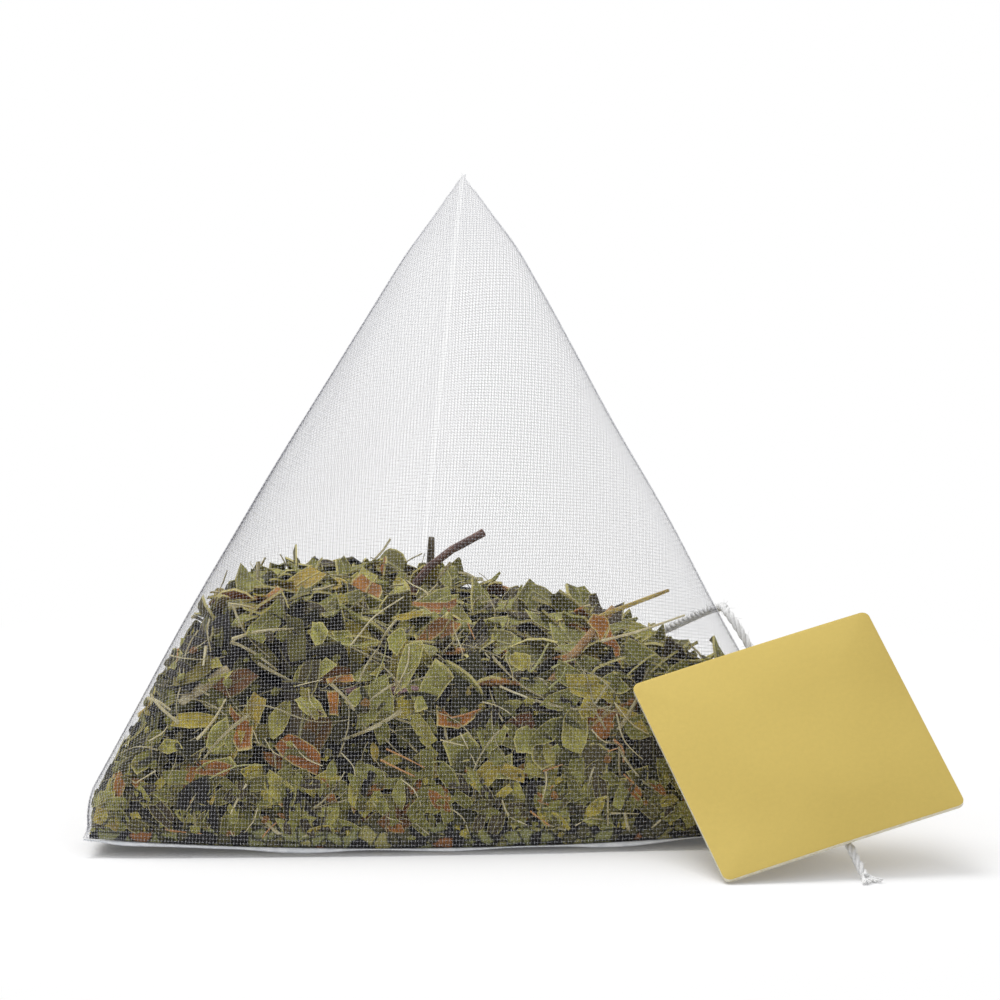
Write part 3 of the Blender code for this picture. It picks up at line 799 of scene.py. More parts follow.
def meshFinish():
    # Clear nylon thread: it shows what is behind it, and where it rides over its neighbour it carries a painted
    # highlight, paler and less clear.
    material, tree, shader = newMaterial("clearNylonThread", {"Roughness": 0.35, "Specular IOR Level": 0.2})
    knuckle = addNode(tree, "ShaderNodeAttribute", {"attribute_name": "crossing"}).outputs["Fac"]
    over = mathNode(tree, "SINE", mathNode(tree, "MULTIPLY", knuckle, math.pi))
    knuckleHighlight = mapRange(tree, over, 0.35, 0.95, 0.0, 1.0)
    # Paler, less clear colour where the thread rides over its neighbour: a painted highlight.
    colour = rampNode(tree, knuckleHighlight, ((0.0, (0.46, 0.46, 0.53)), (1.0, (0.88, 0.89, 0.93))))
    tree.links.new(colour, shader.inputs["Base Color"])
    tree.links.new(mapRange(tree, knuckleHighlight, 0.0, 1.0, 0.10, 0.24), shader.inputs["Alpha"])
    return material


clearThread = meshFinish()


def makeWeave(name, firstColumn, lastColumn, *nodesReplaced):
    pitch, rows = weave["pitch"], weave["rows"]
    chains, crossing = [], []
    span = (lastColumn - firstColumn) * girth / weave["columns"]
    warps = round(span / pitch)
    rowPlaces = np.arange(rows + 1).astype(float)
    for k in range(warps):
        columns = np.full(rows + 1, firstColumn + (k + 0.5) / warps * (lastColumn - firstColumn))
        chains.append(gridAt(columns, rowPlaces, np.full(rows + 1, weave["warpDepth"])))
        crossing.append(rowPlaces * (cutLength / rows / pitch) + k)
    wefts = round(cutLength / pitch)
    columnPlaces = np.arange(firstColumn, lastColumn + 1).astype(float)
    for k in range(wefts):
        row = np.full(len(columnPlaces), (k + 0.5) / wefts * rows)
        chains.append(gridAt(columnPlaces, row, np.full(len(columnPlaces), weave["weftDepth"])))
        crossing.append(columnPlaces * (girth / weave["columns"] / pitch) + k + 1)
    piece = guideObject(name, chains, crossing=np.concatenate(crossing))
    runTree(piece, threads, {"Radius": weave["threadRadius"], "Sides": 4, "Finish": clearThread})
    piece.data.shade_smooth()
    dress(piece, "woven_mesh", *nodesReplaced)
    print(name, "made, triangles", sum(len(p.vertices) - 2 for p in piece.data.polygons))


quarterRound = weave["columns"] // 4
makeWeave("meshFrontLeft", 0, quarterRound, "mesh_pouch")
makeWeave("meshFrontRight", quarterRound, 2 * quarterRound)
makeWeave("meshBackRight", 2 * quarterRound, 3 * quarterRound)
makeWeave("meshBackLeft", 3 * quarterRound, 4 * quarterRound)


# Welds: a thin melted strip along each end of the tube, with a slightly uneven cut edge
weld = {
    "thickness": 0.00013,
    "inward": 0.00005,
    "steps": 170,
    "wander": 0.00016,
    "wanderLength": 0.0021,
    "nickLength": 0.0005,
    "lift": 0.00030,
    "liftLength": 0.0065,
    "finLevel": 0.45,
}


def finPoint(u, v):
    # Past the front weld the fin lies nearly level, as it sets when the bag stands.
    if v >= 0:
        return stripPoint(u, v)
    return stripPoint(u, 0) + Vector((0, v * weld["finLevel"], 0))


def makeWeld(name, v, firstU, seed, finishName, alpha):
    # Runs from one end of the weld to the other between the two layers, and round its outer edge.
    outward = -1 if v < cutLength / 2 else 1
    half = weld["thickness"] / 2
    points = []
    for k in range(weld["steps"] + 1):
        u = firstU + sealLength * (0.004 + 0.992 * k / weld["steps"])
        other = 2 * firstU - u
        fin = pouch["sealFin"] * finKept(u, v)
        fin += weld["wander"] * noise.noise(Vector((u / weld["wanderLength"], seed, 0)))
        fin += 0.4 * weld["wander"] * noise.noise(Vector((u / weld["nickLength"], seed, 5)))
        line = []
        for share, depth in enumerate((-weld["inward"], 0.0, fin * 0.5, fin)):
            place = v + outward * depth
            point = (finPoint(u, place) + finPoint(other, place)) / 2 + toWorld
            point.z += weld["lift"] * noise.noise(Vector((u / weld["liftLength"], seed, 9))) * share / 3
            line.append(point)
        side = stripPoint(u, v) - stripPoint(other, v)
        side = side.normalized() if side.length > 1e-6 else Vector((0, 0, 1))
        offs = [side * half * (0.5 if i == 3 else 1) for i in range(4)]
        points += [p + off for p, off in zip(line, offs)] + [p - off for p, off in zip(line, offs)][::-1]
    mesh = outwardMesh(name, points, tubeFaces(weld["steps"] + 1, 8))
    finish = mottledFinish(finishName, {"Roughness": 0.3, "Alpha": alpha}, (1500, 3),
                           ((0.3, (0.70, 0.73, 0.78)), (0.7, (0.93, 0.95, 0.98))), relief=(2600, 2, 0.00005))
    dress(newObject(name, mesh, finish), "woven_mesh")


makeWeld("frontWeld", 0, 0, 1.5, "meltedNylon", 0.9)
makeWeld("backWeld", cutLength, sealLength / 2, 7.5, "thinMeltedNylon", 0.08)
print("welds made")


# Leaf: dried tea, as flakes, stalks and crumbs pressed against the mesh and heaped on top
leaf = {
    "nearest": 0.00034,
    "nearestSmall": 0.00026,
    "flakeKinds": 10,
    "stalkSlims": (0.012, 0.02, 0.032),
    "flakeThickness": 0.045,
    "fromWeld": 0.0015,
    "bottomSkipped": 0.6,
    "topReach": ((-0.024, 0.024), (-0.024, 0.026)),
    "topRoom": 0.0010,
    "seamReach": (0.0008, 0.0046),
    "seamDepth": (0.0004, 0.0007),
    "dustSteps": 160,
    "dustCells": 850.0,
    "dustLevels": ((0.00034, 0.00024), (0.0008, 0.0004), (0.0015, 0.0007), (0.0023, 0.0011)),
}


def leafFinish(name, paintedLightLevel=1.0):
    # The colour comes from each flake's own tone, with mottling and paler veins, and a pale edge that is partly
    # the leaf's dry edge and partly a painted highlight. The last argument scales every colour: above one it is
    # painted light, below one painted shade.
    material, tree, shader = newMaterial(name, {"Roughness": 0.72, "Specular IOR Level": 0.35})
    tone = addNode(tree, "ShaderNodeAttribute", {"attribute_name": "tone"}).outputs["Fac"]
    stops = (
        (0.00, (0.022, 0.018, 0.012)),
        (0.16, (0.070, 0.050, 0.028)),
        (0.34, (0.150, 0.135, 0.032)),
        (0.52, (0.245, 0.238, 0.052)),
        (0.66, (0.375, 0.365, 0.110)),
        (0.80, (0.520, 0.430, 0.075)),
        (0.91, (0.330, 0.115, 0.025)),
        (1.00, (0.420, 0.185, 0.040)),
    )
    veinColour, paleEdgeAndHighlightColour = (0.62, 0.58, 0.25), (0.70, 0.62, 0.24)
    base = rampNode(tree, tone, tuple((place, tuple(paintedLightLevel * c for c in colour)) for place, colour in stops))
    mottle = objectNoise(tree, 900, 4, 0.6)
    shade = rampNode(tree, mottle, ((0.32, (0.46, 0.43, 0.36)), (0.68, (1.30, 1.30, 1.16))))
    coloured = mixColours(tree, "MULTIPLY", 1.0, base, shade)
    where = addNode(tree, "ShaderNodeUVMap", {"uv_map": "flake"}).outputs[0]
    split = addNode(tree, "ShaderNodeSeparateXYZ", in0=where)
    fromRib = mathNode(tree, "ABSOLUTE", mathNode(tree, "SUBTRACT", split.outputs[1], 0.5))
    rib = mapRange(tree, fromRib, 0.02, 0.06, 1.0, 0.0)
    slant = mathNode(tree, "ADD", mathNode(tree, "MULTIPLY", split.outputs[0], 7.0),
                     mathNode(tree, "MULTIPLY", fromRib, 6.0))
    wave = mathNode(tree, "ABSOLUTE", mathNode(tree, "SINE", mathNode(tree, "MULTIPLY", slant, math.pi)))
    lines = mathNode(tree, "MAXIMUM", rib, mapRange(tree, wave, 0.04, 0.22, 0.5, 0.0))
    paler = mixColours(tree, "MIX", mathNode(tree, "MULTIPLY", lines, 0.45), coloured,
                       tuple(paintedLightLevel * c for c in veinColour))
    # The pale rim is partly the dry leaf's edge and partly a painted highlight.
    paleEdgeAndHighlight = mixColours(tree, "MIX", mapRange(tree, fromRib, 0.43, 0.5, 0.0, 0.85), paler,
                       tuple(paintedLightLevel * c for c in paleEdgeAndHighlightColour))
    tree.links.new(paleEdgeAndHighlight, shader.inputs["Base Color"])
    height = mathNode(tree, "ADD", mottle, mathNode(tree, "MULTIPLY", lines, 0.6))
    addBump(tree, shader, height, 0.00018, 0.8)
    return material


# Copies of the leaf finish. The first is the plain colour. The second is a lit copy with painted light, for the
# leaves that show right under the mesh. The last two are shaded copies with painted shade, for leaves deeper in
# the heap.
dryLeaf = leafFinish("dryLeaf")
brightLeaf = leafFinish("brightLeaf", 1.25)
halfShadedLeaf = leafFinish("halfShadedLeaf", 0.38)
shadedLeaf = leafFinish("shadedLeaf", 0.15)


def stalkFinish(name, dark, pale):
    material, tree, shader = newMaterial(name, {"Roughness": 0.7})
    where = addNode(tree, "ShaderNodeUVMap", {"uv_map": "flake"}).outputs[0]
    streaks = addNode(tree, "ShaderNodeMapping", Vector=where, Scale=(2.0, 9.0, 1.0))
    grain = addNode(tree, "ShaderNodeTexNoise", Vector=streaks.outputs[0], Scale=1.6, Detail=4.0)
    blotch = objectNoise(tree, 700, 2)
    mixed = mathNode(tree, "MULTIPLY", mathNode(tree, "ADD", grain.outputs[0], blotch), 0.5)
    tree.links.new(rampNode(tree, mixed, ((0.36, dark), (0.62, pale))), shader.inputs["Base Color"])
    addBump(tree, shader, grain.outputs[0], 0.00012)
    return material


def flakeShape(name, chance, pointed):
    # An angular scrap of leaf one unit long: two grids joined round their rim, cut askew and curled.
    columns, rows = 5, 3
    wide = chance.uniform(0.35, 0.62)
    skewStart, skewEnd = chance.uniform(-0.5, 0.5), chance.uniform(-0.5, 0.5)
    curl, bend = chance.uniform(0.10, 0.42), chance.uniform(-0.16, 0.16)
    twist = chance.uniform(-0.12, 0.12)
    points, uvs = [], []
    for i in range(columns):
        for j in range(rows):
            s, t = 2 * i / (columns - 1) - 1, 2 * j / (rows - 1) - 1
            narrow = (1 - 0.75 * abs(s) ** 2.2) if pointed else (1 - 0.25 * abs(s) ** 3)
            shift = skewStart * t * (1 - s) / 2 + skewEnd * t * (1 + s) / 2
            x = 0.5 * s + 0.22 * shift + chance.uniform(-0.035, 0.035)
            y = 0.5 * wide * t * narrow + chance.uniform(-0.03, 0.03)
            z = curl * (t * narrow * wide) ** 2 + bend * s * s + twist * s * t + chance.uniform(-0.02, 0.02)
            points.append(Vector((x, y, z)))
            uvs.append((i / (columns - 1), j / (rows - 1)))
    count = len(points)
    points += [p - Vector((0, 0, leaf["flakeThickness"])) for p in points]
    polygons = []
    for i in range(columns - 1):
        for j in range(rows - 1):
            a, b = i * rows + j, (i + 1) * rows + j
            polygons.append((a, b, b + 1, a + 1))
            polygons.append((count + a, count + a + 1, count + b + 1, count + b))
    rim = [i * rows for i in range(columns)] + [(columns - 1) * rows + j for j in range(1, rows)]
    rim += [i * rows + rows - 1 for i in range(columns - 2, -1, -1)] + [j for j in range(rows - 2, 0, -1)]
    polygons += [(a, count + a, count + b, b) for a, b in zip(rim, rim[1:] + rim[:1])]
    mesh = meshFrom(name, points, polygons)
    flakeMap(mesh, uvs + uvs)
    return mesh


def stalkShape(name, chance, slim):
    # A thin bent stalk one unit long, four-sided.
    bend, sway = chance.uniform(-0.16, 0.16), chance.uniform(-0.10, 0.10)
    rings, sides = 6, 4
    points, uvs = [], []
    for k in range(rings):
        t = k / (rings - 1)
        middle = Vector((t - 0.5, bend * math.sin(math.pi * t) + sway * t * t, 0.05 * math.sin(5 * t)))
        radius = slim * (1 - 0.45 * t) * chance.uniform(0.85, 1.15)
        for j in range(sides):
            angle = 2 * math.pi * j / sides
            points.append(middle + radius * Vector((0, math.cos(angle), math.sin(angle))))
            uvs.append((t, j / sides))
    polygons = [(k * sides + j, k * sides + (j + 1) % sides, (k + 1) * sides + (j + 1) % sides,
                 (k + 1) * sides + j) for k in range(rings - 1) for j in range(sides)]
    polygons += [tuple(range(sides))[::-1], tuple(range((rings - 1) * sides, rings * sides))]
    mesh = meshFrom(name, points, polygons)
    flakeMap(mesh, uvs)
    return mesh


def crumbShape(name, chance):
    shape = bmesh.new()
    bmesh.ops.create_icosphere(shape, subdivisions=1, radius=0.5)
    for vert in shape.verts:
        vert.co = vert.co * chance.uniform(0.6, 1.2)
        vert.co.z *= 0.6
    mesh = bpy.data.meshes.new(name)
    shape.to_mesh(mesh)
    shape.free()
    mesh.uv_layers.new(name="flake")
    return mesh


def shapeSet(name, makers):
    group = bpy.data.collections.new(name)
    scratch.children.link(group)
    for k, make in enumerate(makers):
        group.objects.link(bpy.data.objects.new(f"{name}{k:02}", make(f"{name}{k:02}")))
    return group


shapeChance = random.Random(21)
flakeSet = shapeSet("flakeShape", [
    lambda name, k=k: flakeShape(name, shapeChance, k % 3 == 0) for k in range(leaf["flakeKinds"])])
stalkSet = shapeSet("stalkShape", [
    lambda name, slim=slim: stalkShape(name, shapeChance, slim) for slim in 2 * leaf["stalkSlims"]])
crumbSet = shapeSet("crumbShape", 4 * [lambda name: crumbShape(name, shapeChance)])


def scatterTree():
    # Sets one of the shapes on every point, square to the point's own direction, then tilts and spins it.
    tree, start, end = newTree("scatterLeaf", (
        ("Shapes", "Collection"), ("Smallest", "Float"), ("Largest", "Float"), ("Tilt", "Float"),
        ("Seed", "Int"), ("Finish", "Material")))
    given = start.outputs

    def randomFloat(low, high, offset):
        seed = mathNode(tree, "ADD", given["Seed"], float(offset))
        return addNode(tree, "FunctionNodeRandomValue", {"data_type": "FLOAT"}, in2=low, in3=high,
                       in8=seed).outputs[1]

    kinds = addNode(tree, "GeometryNodeCollectionInfo", Collection=given["Shapes"])
    kinds.inputs["Separate Children"].default_value = True
    kinds.inputs["Reset Children"].default_value = True
    facing = addNode(tree, "GeometryNodeInputNamedAttribute", {"data_type": "FLOAT_VECTOR"}, Name="facing")
    square = addNode(tree, "FunctionNodeAlignRotationToVector", {"axis": "Z"}, Vector=facing.outputs[0])
    minus = mathNode(tree, "MULTIPLY", given["Tilt"], -1.0)
    angles = addNode(tree, "ShaderNodeCombineXYZ", in0=randomFloat(minus, given["Tilt"], 1),
                     in1=randomFloat(minus, given["Tilt"], 2), in2=randomFloat(0.0, 2 * math.pi, 3))
    spin = addNode(tree, "FunctionNodeEulerToRotation", in0=angles.outputs[0])
    turned = addNode(tree, "FunctionNodeRotateRotation", {"rotation_space": "LOCAL"}, in0=square.outputs[0],
                     in1=spin.outputs[0])
    size = randomFloat(given["Smallest"], given["Largest"], 4)
    pick = addNode(tree, "FunctionNodeRandomValue", {"data_type": "INT"}, in4=0, in5=99, in8=given["Seed"])
    laid = addNode(tree, "GeometryNodeInstanceOnPoints", Points=given["Geometry"], Instance=kinds.outputs[0],
                   Rotation=turned.outputs[0], Scale=size)
    laid.inputs["Pick Instance"].default_value = True
    tree.links.new(pick.outputs[2], laid.inputs["Instance Index"])
    whole = addNode(tree, "GeometryNodeRealizeInstances", Geometry=laid.outputs[0])
    looks = addNode(tree, "GeometryNodeSetMaterial", Geometry=whole.outputs[0], Material=given["Finish"])
    tree.links.new(looks.outputs[0], end.inputs[0])
    return tree


scatter = scatterTree()
seamLine = sorted((stripPoint(sealLength * k / 60, 0) + toWorld for k in range(61)), key=lambda p: p.x)
seamX, seamY = [p.x for p in seamLine], [p.y for p in seamLine]


def keepInside(mesh, least):
    # Moves what would touch the mesh in under it, twice because near a weld both sides press.
    places = np.zeros(len(mesh.vertices) * 3, np.float32)
    mesh.vertices.foreach_get("co", places)
    places = places.reshape(-1, 3)
    places[:, 1] = np.maximum(places[:, 1], np.interp(places[:, 0], seamX, seamY) + 2 * least)
    for k in range(len(places)):
        place = Vector(places[k])
        for _ in range(2):
            near, normal, _, _ = pouchSkin.find_nearest(place)
            depth = (near - place).dot(normal)
            if depth < least:
                place += normal * (depth - least)
        place.z = max(place.z, least)
        places[k] = place
    mesh.vertices.foreach_set("co", places.ravel())
    mesh.update()


def scatterPiece(name, places, shapes, sizes, tilt, seed, finish, slot="leaf_mix", least=leaf["nearest"]):
    # places are (point, direction, tone), and sizes the smallest and the largest.
    mesh = meshFrom(name, [p for p, _, _ in places])
    pointValues(mesh, "facing", [c for _, way, _ in places for c in way], "FLOAT_VECTOR")
    pointValues(mesh, "tone", [t for _, _, t in places])
    piece = newObject(name, mesh, None, smooth=False)
    runTree(piece, scatter, {"Shapes": shapes, "Smallest": sizes[0], "Largest": sizes[1], "Tilt": tilt,
                             "Seed": seed, "Finish": finish})
    keepInside(piece.data, least)
    piece.data.shade_smooth()
    piece.data.set_sharp_from_angle(angle=math.radians(55))
    dress(piece, slot)
    print(name, "made, triangles", sum(len(p.vertices) - 2 for p in piece.data.polygons))


def pickTone(chance, tones):
    # tones are (share, low, high).
    drawn = chance.random()
    for share, low, high in tones:
        if drawn < share:
            return chance.uniform(low, high)
        drawn -= share
    return tones[0][1]


def againstMesh(seed, count, shallow, deep, tones, fromWeld=leaf["fromWeld"], sag=0.0):
    # Random places under the mesh and below the top of the heap, most of them on the three upright faces.
    chance = random.Random(seed)
    places = []
    while len(places) < count:
        u, v = chance.uniform(0, girth), chance.uniform(fromWeld, cutLength - fromWeld)
        number = faceAt(u, v / cutLength)[0]
        if number == 2 and chance.random() < leaf["bottomSkipped"]:
            continue
        depth = chance.uniform(shallow, deep)
        room = 0.4 * sealLength * min(v, cutLength - v) / cutLength
        point = meshPoint(u, v, min(depth, max(pouch["cloth"], room)))
        if point.z <= fillHeight(point.x) - sag:
            places.append((point, wayOut(u, v), pickTone(chance, tones)))
    return places


def alongSeam(seed, count, tones):
    # Small bits that have run down into the wedge over the front weld.
    chance = random.Random(seed)
    places = []
    for _ in range(count):
        u, v = chance.uniform(0.02, 0.98) * sealLength, chance.uniform(*leaf["seamReach"])
        point = meshPoint(u, v, chance.uniform(*leaf["seamDepth"]))
        places.append((point, wayOut(u, v), pickTone(chance, tones)))
    return places


def onTop(seed, count, lift, tones, steep):
    # Places over the top of the heap, clear of the mesh.
    chance = random.Random(seed)
    places = []
    while len(places) < count:
        x, y = [chance.uniform(*reach) for reach in leaf["topReach"]]
        point = Vector((x, y, fillHeight(x) + chance.uniform(-lift, lift)))
        near, normal, _, _ = pouchSkin.find_nearest(point)
        if (near - point).dot(normal) < leaf["topRoom"]:
            continue
        way = Vector((chance.gauss(0, steep), chance.gauss(0, steep), 1)).normalized()
        places.append((point, way, pickTone(chance, tones)))
    return places


def dustAndGapShadeFinish():
    # Bits of every tone, with painted shade darkening the gaps between them.
    material, tree, shader = newMaterial("leafDust", {"Roughness": 0.85})
    where = objectPlace(tree)
    shift = addNode(tree, "ShaderNodeTexNoise", Vector=where, Scale=700.0).outputs["Color"]
    warped = addNode(tree, "ShaderNodeVectorMath", {"operation": "MULTIPLY_ADD"}, in0=shift,
                     in1=(0.0008, 0.0008, 0.0008), in2=where).outputs[0]
    cells = addNode(tree, "ShaderNodeTexVoronoi", Vector=warped, Scale=leaf["dustCells"])
    drawn = addNode(tree, "ShaderNodeSeparateColor", in0=cells.outputs["Color"]).outputs[0]
    bits = rampNode(tree, drawn, (
        (0.00, (0.012, 0.010, 0.007)), (0.30, (0.10, 0.09, 0.035)), (0.52, (0.30, 0.30, 0.11)),
        (0.76, (0.42, 0.38, 0.13)), (0.90, (0.34, 0.14, 0.04))), "CONSTANT")
    border = addNode(tree, "ShaderNodeTexVoronoi", {"feature": "DISTANCE_TO_EDGE"}, Vector=warped,
                     Scale=leaf["dustCells"])
    # Darkening towards the edge of each bit is painted shade in the gaps between bits.
    inside = mapRange(tree, border.outputs["Distance"], 0.02, 0.14, 0.12, 1.0)
    tree.links.new(mixColours(tree, "MULTIPLY", 1.0, bits, inside), shader.inputs["Base Color"])
    addBump(tree, shader, objectNoise(tree, 3800, 3), 0.0002)
    return material


def makeDust():
    # Leaf dust that fills the narrow wedge between the front face and the bottom, just over the weld. Its dark
    # colour is partly the dust's own and partly painted shade for the wedge.
    levels, steps = leaf["dustLevels"], leaf["dustSteps"]
    points = []
    for k in range(steps + 1):
        u = sealLength * (0.012 + 0.976 * k / steps)
        rough = 1 + 0.5 * noise.noise(Vector((u / 0.0007, 3, 1)))
        points += [meshPoint(u, v * (rough if n else 1), depth) for n, (v, depth) in enumerate(levels)]
        points += [meshPoint(-u, v, depth) for v, depth in levels[::-1]]
    mesh = outwardMesh("leafDust", points, tubeFaces(steps + 1, 2 * len(levels)))
    dress(newObject("leafDust", mesh, dustAndGapShadeFinish()), "leaf_mix")


# The deep tones keep to the dark end of the leaf colours: painted shade for flakes deep in the heap.
deepShadeTones = ((0.45, 0.0, 0.2), (0.35, 0.25, 0.45), (0.20, 0.45, 0.6))
middleTones = ((0.22, 0.08, 0.3), (0.42, 0.34, 0.6), (0.20, 0.6, 0.75), (0.08, 0.76, 0.84), (0.08, 0.88, 1.0))
outerTones = ((0.12, 0.12, 0.3), (0.40, 0.42, 0.60), (0.28, 0.60, 0.76), (0.13, 0.76, 0.84), (0.07, 0.88, 1.0))
anyTone = ((1.0, 0.0, 1.0),)

makeDust()
# The deepest flakes take the shaded finish and the middle ones the half shaded finish: painted shade for the
# depth of the heap.
scatterPiece("leafUnder", againstMesh(
    seed=31, count=600, shallow=0.0015, deep=0.0026, tones=deepShadeTones, sag=0.001),
    flakeSet, sizes=(0.0028, 0.0062), tilt=0.5, seed=1, finish=shadedLeaf)
scatterPiece("leafMiddle", againstMesh(
    seed=32, count=620, shallow=0.0008, deep=0.0016, tones=middleTones, sag=0.0005),
    flakeSet, sizes=(0.0020, 0.0044), tilt=0.34, seed=2, finish=halfShadedLeaf)
scatterPiece("leafOuter", againstMesh(
    seed=33, count=520, shallow=0.0006, deep=0.0012, tones=outerTones),
    flakeSet, sizes=(0.0014, 0.0036), tilt=0.18, seed=3, finish=dryLeaf)
scatterPiece("leafTop", onTop(
    seed=34, count=420, lift=0.0009, tones=middleTones, steep=0.45),
    flakeSet, sizes=(0.0020, 0.0052), tilt=0.5, seed=4, finish=dryLeaf)
scatterPiece("leafSeam", alongSeam(
    seed=38, count=340, tones=middleTones),
    flakeSet, sizes=(0.0010, 0.0023), tilt=0.2, seed=8, finish=dryLeaf, least=0.00028)
strawStalk = stalkFinish("strawStalk", (0.42, 0.34, 0.13), (0.88, 0.80, 0.50))
scatterPiece("stalksOuter", againstMesh(
    seed=35, count=620, shallow=0.0004, deep=0.0012, tones=anyTone, fromWeld=0.001),
    stalkSet, sizes=(0.0016, 0.0060), tilt=0.12, seed=5, finish=strawStalk, slot="stem")
scatterPiece("stalksTop", onTop(
    seed=36, count=110, lift=0.0012, tones=anyTone, steep=0.9),
    stalkSet, sizes=(0.0025, 0.0060), tilt=0.9, seed=6, finish=strawStalk, slot="stem")
scatterPiece("crumbs", againstMesh(
    seed=37, count=1300, shallow=0.0003, deep=0.0016, tones=outerTones, fromWeld=0.0004),
    crumbSet, sizes=(0.0003, 0.0011), tilt=0.5, seed=7, finish=dryLeaf, least=leaf["nearestSmall"])


# The leaves and stems that stand out most, each by the pixels where it shows, laid just under the mesh there
seenLeaves = (  # tone and outline
    (0.66, ((397, 664), (405, 643), (411, 640), (421, 639), (424, 643), (419, 661), (406, 685), (395, 693))),
    (0.62, ((414, 702), (421, 681), (435, 656), (444, 662), (455, 675), (437, 698), (427, 708), (415, 711))),
    (0.56, ((386, 637), (400, 624), (405, 629), (406, 638), (397, 654), (389, 647))),
    (0.74, ((509, 655), (516, 650), (531, 654), (530, 670), (520, 669), (509, 661))),
    (0.95, ((436, 704), (451, 716), (482, 708), (470, 722), (458, 728), (437, 724))),
    (0.57, ((443, 742), (468, 731), (480, 745), (470, 760), (450, 765))),
    (0.60, ((517, 728), (529, 723), (538, 730), (532, 753), (516, 752), (514, 738))),
    (0.64, ((488, 763), (513, 752), (512, 779), (489, 779))),
    (0.55, ((475, 756), (492, 737), (505, 724), (509, 728), (502, 742), (488, 754))),
    (0.66, ((291, 810), (308, 813), (314, 820), (305, 822), (290, 819))),
    (0.60, ((289, 831), (298, 824), (311, 823), (313, 831), (292, 843))),
    (0.92, ((277, 804), (286, 800), (312, 803), (310, 807), (282, 807))),
    (0.91, ((324, 817), (335, 801), (338, 814), (333, 825), (335, 842), (329, 842), (328, 825))),
    (0.78, ((316, 842), (318, 837), (324, 837), (326, 842), (321, 845))),
    (0.54, ((207, 826), (216, 825), (223, 837), (221, 843), (205, 843))),
    (0.93, ((229, 701), (236, 711), (253, 722), (251, 747), (238, 750), (232, 740), (237, 722), (228, 711))),
    (0.65, ((213, 723), (227, 714), (229, 729), (223, 742), (213, 751), (205, 745), (207, 732))),
    (0.70, ((156, 746), (164, 737), (177, 738), (182, 746), (167, 752))),
    (0.50, ((131, 750), (142, 742), (156, 746), (149, 765), (136, 773), (128, 762))),
    (0.97, ((109, 768), (115, 759), (127, 755), (131, 762), (127, 780), (115, 785), (108, 778))),
    (0.20, ((172, 766), (202, 746), (200, 755), (185, 770), (168, 779))),
    (1.00, ((179, 780), (187, 771), (195, 775), (191, 790), (182, 789))),
    (0.56, ((195, 768), (207, 759), (230, 755), (238, 765), (218, 771), (200, 779))),
    (0.80, ((238, 769), (255, 762), (267, 766), (261, 775), (246, 778))),
    (0.72, ((206, 660), (216, 654), (222, 663), (211, 666))),
    (0.71, ((207, 677), (220, 672), (232, 668), (225, 677), (210, 681))),
    (0.97, ((588, 621), (594, 613), (605, 613), (610, 619), (611, 626), (602, 641), (597, 629))),
    (0.93, ((611, 626), (621, 647), (622, 664), (617, 657), (613, 642), (603, 641))),
    (0.79, ((579, 708), (588, 693), (595, 697), (598, 713), (582, 718))),
    (0.52, ((598, 680), (615, 669), (621, 675), (632, 688), (622, 693), (608, 691))),
    (0.82, ((615, 702), (639, 713), (651, 734), (634, 725), (622, 715))),
    (0.24, ((579, 743), (598, 741), (610, 749), (608, 773), (588, 785), (581, 761))),
    (0.58, ((570, 789), (586, 793), (588, 805), (571, 810))),
    (0.40, ((626, 771), (649, 765), (649, 783), (637, 787))),
    (0.69, ((610, 779), (627, 778), (627, 789), (617, 793), (608, 788))),
    (0.14, ((643, 790), (675, 790), (675, 806), (646, 807))),
    (0.79, ((658, 812), (671, 808), (672, 824), (661, 829))),
    (0.98, ((545, 795), (553, 784), (557, 793), (551, 799))),
    (0.53, ((546, 802), (566, 768), (570, 773), (562, 792), (552, 806))),
    (0.30, ((530, 743), (542, 739), (559, 749), (560, 760), (542, 770), (532, 759))),
    (0.67, ((312, 619), (322, 620), (328, 629), (323, 641), (315, 644), (309, 632))),
    (0.54, ((331, 629), (348, 628), (355, 641), (345, 643), (335, 638))),
    (0.72, ((352, 644), (367, 638), (378, 638), (377, 643), (362, 646))),
    (0.82, ((390, 615), (413, 609), (426, 609), (419, 615), (402, 618))),
    (0.56, ((293, 674), (298, 663), (309, 663), (311, 677), (293, 685))),
    (0.66, ((312, 671), (325, 655), (337, 662), (319, 677))),
    (0.98, ((326, 677), (338, 674), (351, 671), (355, 679), (345, 680), (327, 682))),
    (0.95, ((327, 690), (338, 689), (338, 714), (329, 713))),
    (0.68, ((294, 698), (308, 688), (319, 701), (327, 715), (310, 715), (299, 707))),
    (0.57, ((343, 701), (354, 687), (373, 682), (371, 691), (355, 706))),
    (0.92, ((361, 704), (363, 698), (369, 703), (367, 709))),
    (0.74, ((369, 673), (383, 660), (385, 665), (377, 674))),
    (0.76, ((88, 838), (93, 833), (103, 834), (105, 839), (96, 842))),
    (0.22, ((92, 822), (110, 812), (128, 815), (118, 826), (98, 831))),
)
